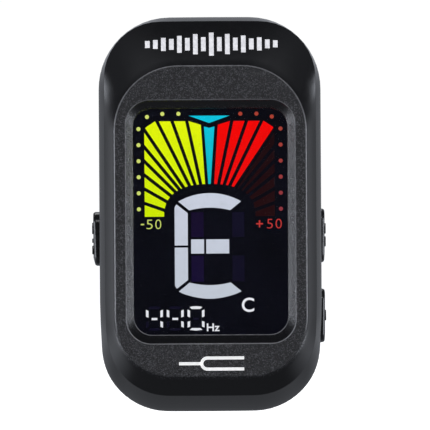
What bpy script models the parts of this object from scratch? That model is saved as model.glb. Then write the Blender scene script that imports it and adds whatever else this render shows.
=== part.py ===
"""Clip-on tuner for guitar headstocks, as an assembly of separate pieces.

Lengths are in millimetres and become metres as each mesh is made. They are drawn in the head's
coordinates: X to the right, Y from the front face towards the back, Z up from the middle of the
head. The finished model's origin is the middle of the fixed pad's gripping face.
"""

import math

import bmesh
import bpy
from mathutils import Matrix, Vector

MM = 0.001
ARC_STEPS = 6
ROUND_STEPS = 32
SMALL_ROUND_STEPS = 16
GAP = 0.15

# Head outlines: depth, half width, lowest, highest, radius of the lower and of the upper corners
FACE = (0.0, 13.64, -22.8, 21.1, 8.2, 9.1)
SHOULDER = (2.0, 14.98, -25.5, 27.2, 8.9, 9.6)
WAIST = (5.6, 15.75, -28.0, 28.0, 9.6, 10.0)
PARTING_DEPTH = 6.4
BACK_ROUNDING = ((10.4, 0.15), (11.7, 0.8), (12.4, 1.9))
HEAD_BACK = 12.4
BACK_WALL_INSIDE = 11.2

# Window and display stack, from front to back
WINDOW_CENTRE_Z = -1.07
WINDOW_EDGE = (12.15, 17.25, 3.6)
SCREEN_EDGE = (11.02, 16.03, 2.6)
WINDOW_BEVEL_DEPTH = 0.9
LENS = (12.1, 17.2, 3.0, 1.3, 2.1)
LCD = (11.6, 16.7, 1.5, 2.25, 3.65)
LCD_FRAME_OUTER = (12.6, 17.8, 2.5)
LCD_FRAME_INNER = (11.75, 16.85, 1.6)
LCD_FRAME_DEPTHS = (2.25, 4.85)
BACKLIGHT_DEPTHS = (3.8, 4.75)
BACKLIGHT_ENDS = (-16.1, 14.9)
BOARD_DEPTHS = (5.0, 5.8)
BOARD_ENDS = (-19.5, 19.6)
BOARD_HALF_WIDTH = 13.0
BOARD_BACK = BOARD_DEPTHS[1] + GAP

# Case screws: distance to each side of the middle, height
SCREW_PLACES = ((10.6, 22.2), (10.9, -21.6))
SCREW_BOSS_RADIUS = 1.8
SCREW_BOSS_START = 3.0
SCREW_SHANK_RADIUS = 0.8
SCREW_HEAD_RADIUS = 1.6

# Buttons: name, side, height of the middle
BUTTONS = (("power", -1, -3.4), ("mode", 1, -3.1), ("pitch", 1, -14.5))
BUTTON_DEPTH = 6.5
BUTTON_HALF_LENGTH = 3.85
BUTTON_HALF_WIDTH = 1.7
BUTTON_FLANGE = 0.8
BUTTON_TOP = 16.65
BUTTON_FLANGE_X = (13.85, 14.25)
SWITCH_X = (11.35, 13.1)
SWITCH_HALF_LENGTH = 2.2
SWITCH_BACK = 7.65

# Coin cell (20 mm x 3.2 mm) and its round door
CELL_CENTRE = (0.0, -12.5)
CELL_RADIUS = 10.0
CELL_DEPTHS = (7.6, 10.8)
DOOR_RADIUS = 11.0
DOOR_LUG_ANGLES = (90, 210, 330)
DOOR_TURN = 50
DOOR_LUG_REACH = 12.0

# Swivel hub, and the tilt hinge on its back
HUB_CENTRE = (0.0, 12.0)
HUB_RADIUS = 7.5
HUB_DEPTHS = (12.6, 14.2)
POST_RADIUS = 3.0
POST_END = 10.1
SWIVEL_BOSS_RADIUS = 4.8
SWIVEL_BOSS_END = 10.6
TILT_AXIS = (17.2, 12.0)
EAR_X = (5.0, 7.0)
EAR_RADIUS = 2.9
KNUCKLE_HALF_WIDTH = 4.4
KNUCKLE_RADIUS = 2.7
TILT_SCREW_RADIUS = 1.0

# Clip
ARM_DEPTHS = (15.4, 17.8)
ARM_HALF_WIDTH = 8.0
ARM_ENDS = (-22.3, 7.0)
JAW_PIN = (21.2, -3.0)
JAW_PIN_RADIUS = 1.2
CHEEK_RADIUS = 2.6
OUTER_CHEEK_X = (6.2, 8.0)
INNER_CHEEK_X = (4.2, 6.0)
LEVER_OFFSET = 3.1
LEVER_ANGLE = math.radians(45)
LEVER_LENGTH = 14.0
LEVER_THICKNESS = 2.2
PAD_HALF_WIDTH = 6.5
PAD_ENDS = (-21.5, -10.5)
FIXED_PAD_DEPTHS = (17.9, 19.9)
MOVING_PAD_DEPTHS = (22.3, 24.2)
SPRING_RADIUS = 2.25
SPRING_WIRE_RADIUS = 0.5
SPRING_HALF_WIDTH = 2.6
SPRING_LEG = 8.0

ORIGIN = Vector((0.0, FIXED_PAD_DEPTHS[1], sum(PAD_ENDS) / 2))

# Colour, roughness, metallic
FINISHES = {
    "black_case": ((0.034, 0.033, 0.038), 0.5, 0.0),
    "black_rubber": ((0.018, 0.018, 0.019), 0.7, 0.0),
    "black_clip": ((0.026, 0.026, 0.028), 0.42, 0.0),
    "grey_rubber": ((0.09, 0.09, 0.095), 0.8, 0.0),
    "clear_lens": ((0.02, 0.02, 0.025), 0.05, 0.0),
    "liquid_crystal": ((0.05, 0.06, 0.1), 0.2, 0.0),
    "white_plastic": ((0.8, 0.8, 0.78), 0.4, 0.0),
    "green_board": ((0.02, 0.16, 0.07), 0.45, 0.0),
    "chip_black": ((0.02, 0.02, 0.02), 0.5, 0.0),
    "steel": ((0.6, 0.6, 0.62), 0.25, 1.0),
    "brass": ((0.72, 0.5, 0.2), 0.3, 1.0),
    "ceramic": ((0.8, 0.76, 0.66), 0.5, 0.0),
}


def clear_scene():
    for obj in list(bpy.data.objects):
        bpy.data.objects.remove(obj, do_unlink=True)


def material(name):
    made = bpy.data.materials.get(name)
    if made is None:
        colour, roughness, metallic = FINISHES[name]
        made = bpy.data.materials.new(name)
        made.use_nodes = True
        shader = made.node_tree.nodes["Principled BSDF"]
        shader.inputs["Base Color"].default_value = (*colour, 1.0)
        shader.inputs["Roughness"].default_value = roughness
        shader.inputs["Metallic"].default_value = metallic
        made.diffuse_color = (*colour, 1.0)
    return made


def to_world(point):
    return (Vector(point) - ORIGIN) * MM


# Outlines: lists of (a, b) points, which are (x, z) on a plate across Y and (y, z) across X


def rounded(low, high, low_radius, high_radius):
    """A rounded rectangle between two corners, counter-clockwise."""
    points = []
    corners = (
        (high[0] - low_radius, low[1] + low_radius, low_radius),
        (high[0] - high_radius, high[1] - high_radius, high_radius),
        (low[0] + high_radius, high[1] - high_radius, high_radius),
        (low[0] + low_radius, low[1] + low_radius, low_radius),
    )
    for quarter, (a, b, radius) in enumerate(corners):
        for step in range(ARC_STEPS + 1):
            angle = math.radians(90 * (quarter - 1 + step / ARC_STEPS))
            points.append((a + radius * math.cos(angle), b + radius * math.sin(angle)))
    return points


def centred(half_width, half_height, radius):
    """A rounded rectangle about the middle of the window."""
    low = (-half_width, WINDOW_CENTRE_Z - half_height)
    high = (half_width, WINDOW_CENTRE_Z + half_height)
    return rounded(low, high, radius, radius)


def circle(centre, radius, steps=SMALL_ROUND_STEPS):
    turns = [2 * math.pi * step / steps for step in range(steps)]
    return [(centre[0] + radius * math.cos(t), centre[1] + radius * math.sin(t)) for t in turns]


def hull(points):
    """The convex outline around some points."""
    ordered = sorted(set(points))

    def chain(sequence):
        kept = []
        for point in sequence:
            while len(kept) > 1 and turn(kept[-2], kept[-1], point) <= 1e-9:
                kept.pop()
            kept.append(point)
        return kept[:-1]

    return chain(ordered) + chain(ordered[::-1])


def turn(start, middle, end):
    across = (middle[0] - start[0]) * (end[1] - start[1])
    return across - (middle[1] - start[1]) * (end[0] - start[0])


# Solids, as bmeshes


def lift(outline, height, axis):
    if axis == "X":
        return [(height, a, b) for a, b in outline]
    if axis == "Y":
        return [(a, height, b) for a, b in outline]
    return [(a, b, height) for a, b in outline]


def loft(rings, closed=False):
    """A solid through rings with the same number of points, or a tube if closed."""
    bm = bmesh.new()
    loops = [[bm.verts.new(point) for point in ring] for ring in rings]
    pairs = list(zip(loops, loops[1:]))
    if closed:
        pairs.append((loops[-1], loops[0]))
    else:
        bm.faces.new(loops[0])
        bm.faces.new(loops[-1])
    for lower, upper in pairs:
        for index, vert in enumerate(lower):
            after = (index + 1) % len(lower)
            bm.faces.new((vert, lower[after], upper[after], upper[index]))
    return bm


def plate(outline, start, end, axis="Y"):
    return loft([lift(outline, start, axis), lift(outline, end, axis)])


def box(low, high):
    return plate([(low[0], low[2]), (high[0], low[2]), (high[0], high[2]), (low[0], high[2])], low[1], high[1])


def turned(profile, centre, axis="Y", steps=SMALL_ROUND_STEPS):
    """A solid of revolution from (radius, height) pairs."""
    return loft([lift(circle(centre, radius, steps), height, axis) for radius, height in profile])


def hollow_plate(outer, inner, start, end, axis="Y"):
    """A plate with a hole, whose two outlines have the same number of points."""
    rings = ((outer, start), (outer, end), (inner, end), (inner, start))
    return loft([lift(outline, height, axis) for outline, height in rings], closed=True)


def washer(centre, outer, inner, start, end, axis="Y", steps=SMALL_ROUND_STEPS):
    outlines = (circle(centre, outer, steps), circle(centre, inner, steps))
    return hollow_plate(*outlines, start, end, axis)


# Objects


def add_object(name, bm, finish):
    for vert in bm.verts:
        vert.co = to_world(vert.co)
    bmesh.ops.recalc_face_normals(bm, faces=bm.faces)
    mesh = bpy.data.meshes.new(name)
    bm.to_mesh(mesh)
    bm.free()
    mesh.shade_smooth()
    mesh.set_sharp_from_angle(angle=math.radians(32))
    obj = bpy.data.objects.new(name, mesh)
    bpy.context.scene.collection.objects.link(obj)
    if finish:
        mesh.materials.append(material(finish))
    return obj


def combine(obj, operation, shapes):
    for number, bm in enumerate(shapes):
        tool = add_object(f"{obj.name}_{operation.lower()}_{number}_{len(obj.modifiers)}", bm, None)
        tool.hide_render = True
        tool.display_type = "WIRE"
        change = obj.modifiers.new(tool.name, "BOOLEAN")
        change.operation = operation
        change.solver = "EXACT"
        change.object = tool


def cut(obj, *shapes):
    combine(obj, "DIFFERENCE", shapes)


def join(obj, *shapes):
    combine(obj, "UNION", shapes)


def soften(obj, width, segments=2):
    bevel = obj.modifiers.new("edges", "BEVEL")
    bevel.width = width * MM
    bevel.segments = segments
    bevel.limit_method = "ANGLE"


def axis_empty(name, point, pieces):
    """An empty on a joint's axis, as the parent of the pieces that turn or slide on it."""
    empty = bpy.data.objects.new(name, None)
    empty.empty_display_size = 5 * MM
    empty.location = to_world(point)
    bpy.context.scene.collection.objects.link(empty)
    for piece in pieces:
        piece.parent = empty
        piece.matrix_parent_inverse = Matrix.Translation(-empty.location)
    return empty


# Head shells


def head_ring(outline):
    depth, half_width, low, high, low_radius, high_radius = outline
    return lift(rounded((-half_width, low), (half_width, high), low_radius, high_radius), depth, "Y")


def shrunk(outline, depth, inset):
    _, half_width, low, high, low_radius, high_radius = outline
    return (depth, half_width - inset, low + inset, high - inset, low_radius - inset, high_radius - inset)


def screw_places():
    return [(side * x, z) for x, z in SCREW_PLACES for side in (-1, 1)]


def button_openings():
    """Cutters for the buttons: the slot through the wall and the pocket for the flange."""
    shapes = []
    for _, side, z in BUTTONS:
        for spread, start, end in ((GAP, 13.0, 18.0), (BUTTON_FLANGE + GAP, 12.8, BUTTON_FLANGE_X[1] + GAP)):
            low = (BUTTON_DEPTH - BUTTON_HALF_WIDTH - spread, z - BUTTON_HALF_LENGTH - spread)
            high = (BUTTON_DEPTH + BUTTON_HALF_WIDTH + spread, z + BUTTON_HALF_LENGTH + spread)
            radius = BUTTON_HALF_WIDTH + spread - 0.01
            shapes.append(plate(rounded(low, high, radius, radius), side * start, side * end, "X"))
    return shapes


def window_opening():
    """The bevelled window, from just outside the face to behind the front wall."""
    grow = 0.5 / WINDOW_BEVEL_DEPTH
    outside = [edge + grow * (edge - screen) for edge, screen in zip(WINDOW_EDGE, SCREEN_EDGE)]
    rings = ((outside, -0.5), (SCREEN_EDGE, WINDOW_BEVEL_DEPTH), (SCREEN_EDGE, 2.0))
    return loft([lift(centred(*outline), depth, "Y") for outline, depth in rings])


def make_front_cover():
    edge = (PARTING_DEPTH, *WAIST[1:])
    cover = add_object("front_cover", loft([head_ring(r) for r in (FACE, SHOULDER, WAIST, edge)]), "black_case")
    hollow = (
        (1.2, 12.4, -18.55, 16.4, 3.3, 3.3),
        (2.2, 13.0, -19.3, 17.3, 3.6, 3.6),
        (3.4, 13.5, -23.2, 24.0, 7.5, 8.0),
        (PARTING_DEPTH + 0.2, 14.4, -26.5, 26.6, 8.3, 8.7),
    )
    cut(cover, loft([head_ring(ring) for ring in hollow]))
    join(cover, *(turned([(SCREW_BOSS_RADIUS, SCREW_BOSS_START), (SCREW_BOSS_RADIUS, PARTING_DEPTH)], p) for p in screw_places()))
    cut(cover, *(turned([(SCREW_SHANK_RADIUS + GAP, 3.6), (SCREW_SHANK_RADIUS + GAP, 7.0)], p) for p in screw_places()))
    cut(cover, window_opening(), *button_openings())
    return cover


def door_box(angle, radial, half_width, depths):
    """A block that points outwards from the middle of the cell."""
    out = Vector((math.cos(math.radians(angle)), math.sin(math.radians(angle))))
    across = Vector((-out.y, out.x))
    middle = Vector(CELL_CENTRE)
    corners = ((radial[0], -half_width), (radial[1], -half_width), (radial[1], half_width), (radial[0], half_width))
    return plate([tuple(middle + out * r + across * w) for r, w in corners], *depths)


def make_rear_cover():
    start = (PARTING_DEPTH + GAP, *WAIST[1:])
    rings = [start] + [shrunk(WAIST, depth, inset) for depth, inset in BACK_ROUNDING]
    cover = add_object("rear_cover", loft([head_ring(ring) for ring in rings]), "black_case")
    hollow = (
        (PARTING_DEPTH - 0.1, 14.4, -26.5, 26.6, 8.3, 8.7),
        (10.2, 14.2, -26.3, 26.4, 8.2, 8.6),
        (BACK_WALL_INSIDE, 13.4, -25.4, 25.5, 7.8, 8.2),
    )
    cut(cover, loft([head_ring(ring) for ring in hollow]))
    bosses = [turned([(SCREW_BOSS_RADIUS, start[0]), (SCREW_BOSS_RADIUS, 11.6)], p) for p in screw_places()]
    swivel_boss = turned([(SWIVEL_BOSS_RADIUS, SWIVEL_BOSS_END), (SWIVEL_BOSS_RADIUS, 11.6)], HUB_CENTRE)
    join(cover, swivel_boss, *bosses)
    shanks = [turned([(SCREW_SHANK_RADIUS + 0.3, 6.0), (SCREW_SHANK_RADIUS + 0.3, 13.0)], p) for p in screw_places()]
    heads = [turned([(SCREW_HEAD_RADIUS + 0.2, 11.35), (SCREW_HEAD_RADIUS + 0.2, 13.0)], p) for p in screw_places()]
    cut(cover, *shanks, *heads)
    cut(cover, turned([(POST_RADIUS + 0.25, 10.0), (POST_RADIUS + 0.25, 13.0)], HUB_CENTRE, steps=ROUND_STEPS))
    cut(cover, turned([(DOOR_RADIUS + 0.2, 10.9), (DOOR_RADIUS + 0.2, 13.0)], CELL_CENTRE, steps=ROUND_STEPS))
    notches = [door_box(a + DOOR_TURN, (10.5, DOOR_LUG_REACH + 0.4), 2.3, (10.9, 13.0)) for a in DOOR_LUG_ANGLES]
    cut(cover, *notches, *button_openings())
    return cover


# Display and electronics


def make_display():
    pieces = [
        add_object("display_window", plate(centred(*LENS[:3]), *LENS[3:]), "clear_lens"),
        add_object("lcd_cell", plate(centred(*LCD[:3]), *LCD[3:]), "liquid_crystal"),
    ]
    outlines = (centred(*LCD_FRAME_OUTER), centred(*LCD_FRAME_INNER))
    pieces.append(add_object("lcd_frame", hollow_plate(*outlines, *LCD_FRAME_DEPTHS), "white_plastic"))
    front, back = BACKLIGHT_DEPTHS
    low, high = BACKLIGHT_ENDS
    panel = box((-11.2, front, low), (11.2, back, high))
    pieces.append(add_object("backlight_panel", panel, "white_plastic"))
    for name, x in (("backlight_led_left", -5.0), ("backlight_led_right", 5.0)):
        led = box((x - 1.2, front, high + GAP), (x + 1.2, back, high + 0.7))
        pieces.append(add_object(name, led, "white_plastic"))
    strip = box((-10.0, front, low - 1.4), (10.0, LCD_FRAME_DEPTHS[1], low - 0.2))
    pieces.append(add_object("zebra_strip", strip, "grey_rubber"))
    return pieces


def make_board():
    low, high = BOARD_ENDS
    outline = rounded((-BOARD_HALF_WIDTH, low), (BOARD_HALF_WIDTH, high), 1.5, 1.5)
    chip = box((-10.2, BOARD_BACK, 4.0), (-3.2, BOARD_BACK + 1.1, 11.0))
    crystal = box((5.6, BOARD_BACK, 4.6), (9.4, BOARD_BACK + 1.3, 11.0))
    pieces = [
        add_object("main_board", plate(outline, *BOARD_DEPTHS), "green_board"),
        add_object("tuner_chip", chip, "chip_black"),
        add_object("crystal", crystal, "steel"),
    ]
    soften(pieces[1], 0.15, 1)
    soften(pieces[2], 0.5)
    return pieces


def make_switches():
    """A side-pushed switch for each button, with the plunger that the button moves."""
    housings = []
    plungers = {}
    for name, side, z in BUTTONS:
        ends = sorted((side * SWITCH_X[0], side * SWITCH_X[1]))
        low = (ends[0], BOARD_BACK, z - SWITCH_HALF_LENGTH)
        housing = add_object(f"{name}_switch", box(low, (ends[1], SWITCH_BACK, z + SWITCH_HALF_LENGTH)), "chip_black")
        pocket = sorted((side * 12.2, side * 14.0))
        cut(housing, box((pocket[0], 6.3, z - 1.0), (pocket[1], 7.3, z + 1.0)))
        housings.append(housing)
        reach = sorted((side * 12.6, side * (BUTTON_FLANGE_X[0] - 0.1)))
        stem = box((reach[0], 6.45, z - 0.8), (reach[1], 7.15, z + 0.8))
        plungers[name] = add_object(f"{name}_plunger", stem, "white_plastic")
    return housings, plungers


def make_battery():
    x, z = CELL_CENTRE
    front, back = CELL_DEPTHS
    profile = [(9.0, front), (9.2, front + 0.5), (CELL_RADIUS, front + 0.6), (CELL_RADIUS, back - 0.2), (9.8, back)]
    cell = add_object("coin_cell", turned(profile, CELL_CENTRE, steps=ROUND_STEPS), "steel")
    ring = washer(CELL_CENTRE, 11.0, 10.25, BOARD_BACK, 9.8, steps=ROUND_STEPS)
    holder = add_object("battery_holder", ring, "chip_black")
    cut(holder, box((x - 2.4, 5.0, z + 9.0), (x + 2.4, 11.0, z + 12.0)))
    foot, sheet = BOARD_BACK, 0.25
    leaf = [(-7, foot), (7, foot), (7, foot + sheet), (-2.2, foot + sheet)]
    leaf += [(4.2, front - 0.4), (4.2, front - 0.15), (-3.4, foot + sheet), (-7, foot + sheet)]
    negative = add_object("battery_contact_negative", plate(leaf, z - 1.2, z + 1.2, "Z"), "brass")
    tab = [(foot, z + 13.7), (foot, z + 10.2), (10.2, z + 10.2), (10.2, z + 10.5)]
    tab += [(foot + sheet, z + 10.5), (foot + sheet, z + 13.7)]
    positive = add_object("battery_contact_positive", plate(tab, -1.8, 1.8, "X"), "brass")
    return [cell, holder, negative, positive]


def make_piezo():
    """The vibration sensor on the inside of the back wall, and the leaf that joins it to the board."""
    centre = (0.0, 21.1)
    brass_disc = turned([(4.0, 10.9), (4.0, 11.1)], centre)
    ceramic_disc = turned([(2.9, 10.6), (2.9, 10.8)], centre)
    leaf = [(BOARD_BACK, 17.0), (6.2, 17.0), (6.2, 18.7), (10.45, 20.6), (10.45, 20.95), (BOARD_BACK, 19.0)]
    return [
        add_object("piezo_plate", brass_disc, "brass"),
        add_object("piezo_ceramic", ceramic_disc, "ceramic"),
        add_object("piezo_contact", plate(leaf, -0.7, 0.7, "X"), "brass"),
    ]


def make_case_screws():
    head = SCREW_HEAD_RADIUS
    shank = SCREW_SHANK_RADIUS
    profile = [(shank * 0.5, 3.9), (shank, 4.6), (shank, 11.5), (head, 11.5), (head, 11.9), (head * 0.7, 12.2)]
    screws = []
    for number, place in enumerate(screw_places(), start=1):
        screw = add_object(f"case_screw_{number}", turned(profile, place, steps=12), "steel")
        x, z = place
        for wide, tall in ((0.9, 0.2), (0.2, 0.9)):
            cut(screw, box((x - wide, 11.8, z - tall), (x + wide, 13.0, z + tall)))
        screws.append(screw)
    return screws


def make_battery_door():
    profile = [(DOOR_RADIUS, BACK_WALL_INSIDE), (DOOR_RADIUS, 12.15), (DOOR_RADIUS - 0.25, HEAD_BACK)]
    door = add_object("battery_door", turned(profile, CELL_CENTRE, steps=ROUND_STEPS), "black_case")
    for angle in DOOR_LUG_ANGLES:
        neck = door_box(angle, (10.4, 10.75), 2.0, (10.4, 11.6))
        join(door, neck, door_box(angle, (10.4, DOOR_LUG_REACH), 2.0, (10.4, 11.0)))
    x, z = CELL_CENTRE
    cut(door, plate(rounded((x - 6.0, z - 0.9), (x + 6.0, z + 0.9), 0.85, 0.85), 11.85, 13.0))
    return door


def make_buttons():
    buttons = {}
    for name, side, z in BUTTONS:
        low = Vector((BUTTON_DEPTH - BUTTON_HALF_WIDTH, z - BUTTON_HALF_LENGTH))
        high = Vector((BUTTON_DEPTH + BUTTON_HALF_WIDTH, z + BUTTON_HALF_LENGTH))
        rings = []
        for inset, x in ((0.0, BUTTON_FLANGE_X[0] + 0.1), (0.0, BUTTON_TOP - 0.4), (0.4, BUTTON_TOP)):
            spread = Vector((inset, inset))
            radius = BUTTON_HALF_WIDTH - inset - 0.01
            rings.append(lift(rounded(low + spread, high - spread, radius, radius), side * x, "X"))
        button = add_object(f"{name}_button", loft(rings), "black_rubber")
        spread = Vector((BUTTON_FLANGE, BUTTON_FLANGE))
        radius = BUTTON_HALF_WIDTH + BUTTON_FLANGE - 0.01
        flange = rounded(low - spread, high + spread, radius, radius)
        join(button, plate(flange, side * BUTTON_FLANGE_X[0], side * BUTTON_FLANGE_X[1], "X"))
        buttons[name] = button
    return buttons


# Swivel and tilt


def ears():
    outline = hull(circle(TILT_AXIS, EAR_RADIUS) + [(13.9, 9.1), (13.9, 14.9)])
    return [plate(outline, side * EAR_X[0], side * EAR_X[1], "X") for side in (-1, 1)]


def make_swivel():
    front, back = HUB_DEPTHS
    profile = [(POST_RADIUS, POST_END), (POST_RADIUS, front), (HUB_RADIUS - 0.3, front)]
    profile += [(HUB_RADIUS, front + 0.3), (HUB_RADIUS, back - 0.4), (HUB_RADIUS - 0.4, back)]
    hub = add_object("swivel_hub", turned(profile, HUB_CENTRE, steps=ROUND_STEPS), "black_clip")
    join(hub, *ears())
    cut(hub, turned([(TILT_SCREW_RADIUS + GAP, -9.0), (TILT_SCREW_RADIUS + GAP, 9.0)], TILT_AXIS, "X"))
    cut(hub, turned([(TILT_SCREW_RADIUS + GAP, 9.0), (TILT_SCREW_RADIUS + GAP, 13.5)], HUB_CENTRE))
    spring_washer = washer(HUB_CENTRE, 4.6, 3.2, 10.2, 10.5, steps=ROUND_STEPS)
    end_washer = washer(HUB_CENTRE, 4.6, 1.2, 9.3, 10.0, steps=ROUND_STEPS)
    screw = turned([(1.7, 8.1), (2.4, 8.4), (2.4, 9.2), (1.0, 9.2), (1.0, 13.2)], HUB_CENTRE)
    return [
        hub,
        add_object("wave_washer", spring_washer, "steel"),
        add_object("retaining_washer", end_washer, "steel"),
        add_object("swivel_screw", screw, "steel"),
    ]


def make_tilt_hardware():
    screw = turned([(1.0, -8.2), (1.0, 7.1), (1.9, 7.1), (1.9, 7.7), (1.5, 8.1)], TILT_AXIS, "X")
    nut = add_object("tilt_nut", plate(circle(TILT_AXIS, 2.1, 6), -8.0, -7.1, "X"), "steel")
    cut(nut, turned([(TILT_SCREW_RADIUS + GAP, -9.0), (TILT_SCREW_RADIUS + GAP, -6.5)], TILT_AXIS, "X"))
    pieces = [add_object("tilt_screw", screw, "steel"), nut]
    for name, side in (("tilt_washer_left", -1), ("tilt_washer_right", 1)):
        ring = washer(TILT_AXIS, 2.6, TILT_SCREW_RADIUS + GAP, side * 4.5, side * 4.9, "X")
        pieces.append(add_object(name, ring, "white_plastic"))
    return pieces


# Clip


def make_fixed_jaw():
    low, high = ARM_ENDS
    arm = plate(rounded((-ARM_HALF_WIDTH, low), (ARM_HALF_WIDTH, high), 3.0, 2.5), *ARM_DEPTHS)
    jaw = add_object("fixed_jaw", arm, "black_clip")
    neck = box((-KNUCKLE_HALF_WIDTH, ARM_DEPTHS[0] + 0.1, high - 3.0), (KNUCKLE_HALF_WIDTH, ARM_DEPTHS[1] - 0.1, 12.0))
    width = KNUCKLE_HALF_WIDTH - 0.05
    knuckle = turned([(KNUCKLE_RADIUS, -width), (KNUCKLE_RADIUS, width)], TILT_AXIS, "X", 24)
    y, z = JAW_PIN
    corners = [(ARM_DEPTHS[1] - 0.3, z - CHEEK_RADIUS), (ARM_DEPTHS[1] - 0.3, z + CHEEK_RADIUS + 0.8)]
    outline = hull(circle(JAW_PIN, CHEEK_RADIUS) + corners)
    cheeks = [plate(outline, side * OUTER_CHEEK_X[0], side * OUTER_CHEEK_X[1] - side * 0.05, "X") for side in (-1, 1)]
    join(jaw, neck, knuckle, *cheeks)
    cut(jaw, turned([(TILT_SCREW_RADIUS + GAP, -6.0), (TILT_SCREW_RADIUS + GAP, 6.0)], TILT_AXIS, "X"))
    cut(jaw, turned([(JAW_PIN_RADIUS + GAP, -9.0), (JAW_PIN_RADIUS + GAP, 9.0)], JAW_PIN, "X"))
    return jaw


def lever_points():
    """The bent strip of the moving jaw, side-on: the arm, then the lever that leans back."""
    along = Vector((math.sin(LEVER_ANGLE), math.cos(LEVER_ANGLE)))
    away = Vector((along.y, -along.x))
    y, z = JAW_PIN
    inner = y + LEVER_OFFSET
    outer = inner + LEVER_THICKNESS
    bend_inner = Vector((inner, z - (LEVER_OFFSET - away.x * LEVER_OFFSET) / -away.y))
    reach = LEVER_OFFSET + LEVER_THICKNESS
    bend_outer = Vector((outer, z - (reach - away.x * reach) / -away.y))
    tip_inner = bend_inner + along * LEVER_LENGTH
    tip_outer = tip_inner + away * LEVER_THICKNESS
    low = ARM_ENDS[0]
    return [(inner, low), (outer, low), tuple(bend_outer), tuple(tip_outer), tuple(tip_inner), tuple(bend_inner)]


def make_moving_jaw():
    jaw = add_object("moving_jaw", plate(lever_points(), -ARM_HALF_WIDTH, ARM_HALF_WIDTH, "X"), "black_clip")
    soften(jaw, 0.5)
    y, z = JAW_PIN
    outline = hull(circle(JAW_PIN, CHEEK_RADIUS) + [(y + 4.1, z - 2.7), (y + 6.0, z + 0.8)])
    join(jaw, *(plate(outline, side * INNER_CHEEK_X[0], side * INNER_CHEEK_X[1], "X") for side in (-1, 1)))
    cut(jaw, turned([(JAW_PIN_RADIUS + GAP, -7.0), (JAW_PIN_RADIUS + GAP, 7.0)], JAW_PIN, "X"))
    return jaw


def make_pad(name, depths):
    low, high = PAD_ENDS
    pad = add_object(name, plate(rounded((-PAD_HALF_WIDTH, low), (PAD_HALF_WIDTH, high), 1.5, 1.5), *depths), "grey_rubber")
    return pad


def make_jaw_pin():
    pin = turned([(JAW_PIN_RADIUS, -8.9), (JAW_PIN_RADIUS, 8.2), (2.0, 8.2), (2.0, 8.7), (1.6, 9.0)], JAW_PIN, "X")
    ring = washer(JAW_PIN, 2.2, JAW_PIN_RADIUS + GAP, -8.6, -8.2, "X")
    return [add_object("jaw_pin", pin, "steel"), add_object("pin_retainer", ring, "steel")]


def spring_points():
    """A front leg that points up, just over four turns about the pin, and a leg along the lever."""
    y, z = JAW_PIN
    first = math.pi
    last = first + 2 * math.pi * 4 + math.pi / 2 + LEVER_ANGLE
    steps = 54
    points = [(-SPRING_HALF_WIDTH, y - SPRING_RADIUS, z + SPRING_LEG)]
    for step in range(steps + 1):
        angle = first + (last - first) * step / steps
        across = SPRING_HALF_WIDTH * (2 * step / steps - 1)
        points.append((across, y + SPRING_RADIUS * math.cos(angle), z + SPRING_RADIUS * math.sin(angle)))
    across, end_y, end_z = points[-1]
    leg = (across, end_y + SPRING_LEG * math.sin(LEVER_ANGLE), end_z + SPRING_LEG * math.cos(LEVER_ANGLE))
    return points + [leg]


def make_spring():
    curve = bpy.data.curves.new("jaw_spring", "CURVE")
    curve.dimensions = "3D"
    curve.bevel_depth = SPRING_WIRE_RADIUS * MM
    curve.bevel_resolution = 1
    curve.use_fill_caps = True
    points = spring_points()
    spline = curve.splines.new("POLY")
    spline.points.add(len(points) - 1)
    for target, point in zip(spline.points, points):
        target.co = (*to_world(point), 1.0)
    curve.materials.append(material("steel"))
    spring = bpy.data.objects.new("jaw_spring", curve)
    bpy.context.scene.collection.objects.link(spring)
    return spring


def build():
    clear_scene()
    buttons = make_buttons()
    switches, plungers = make_switches()
    door = make_battery_door()
    head = [make_front_cover(), make_rear_cover(), *make_display(), *make_board(), *switches]
    head += [*make_battery(), *make_piezo(), *make_case_screws()]
    pivot = [*make_swivel(), *make_tilt_hardware()]
    lever = [make_moving_jaw(), make_pad("moving_pad", MOVING_PAD_DEPTHS)]
    base = [make_fixed_jaw(), make_pad("fixed_pad", FIXED_PAD_DEPTHS), *make_jaw_pin(), make_spring()]
    tilt = axis_empty("tilt_axis", (0.0, *TILT_AXIS), pivot)
    swivel = axis_empty("swivel_axis", (HUB_CENTRE[0], HUB_DEPTHS[0], HUB_CENTRE[1]), head)
    axis_empty("jaw_axis", (0.0, *JAW_PIN), lever)
    axis_empty("clip_origin", ORIGIN, base)
    axis_empty("door_axis", (CELL_CENTRE[0], HEAD_BACK, CELL_CENTRE[1]), [door])
    for name, side, z in BUTTONS:
        axis_empty(f"{name}_axis", (side * BUTTON_TOP, BUTTON_DEPTH, z), [buttons[name], plungers[name]])
    swivel.parent = tilt
    swivel.matrix_parent_inverse = Matrix.Translation(-tilt.location)


build()
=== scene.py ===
# Looks of a clip-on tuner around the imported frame. Lengths are millimetres in the head's own
# coordinates: x to the right, depth from the front face towards the back, z up from the head's middle.
import math

import bmesh
import bpy
import numpy as np
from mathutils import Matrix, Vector
from mathutils.bvhtree import BVHTree


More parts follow.
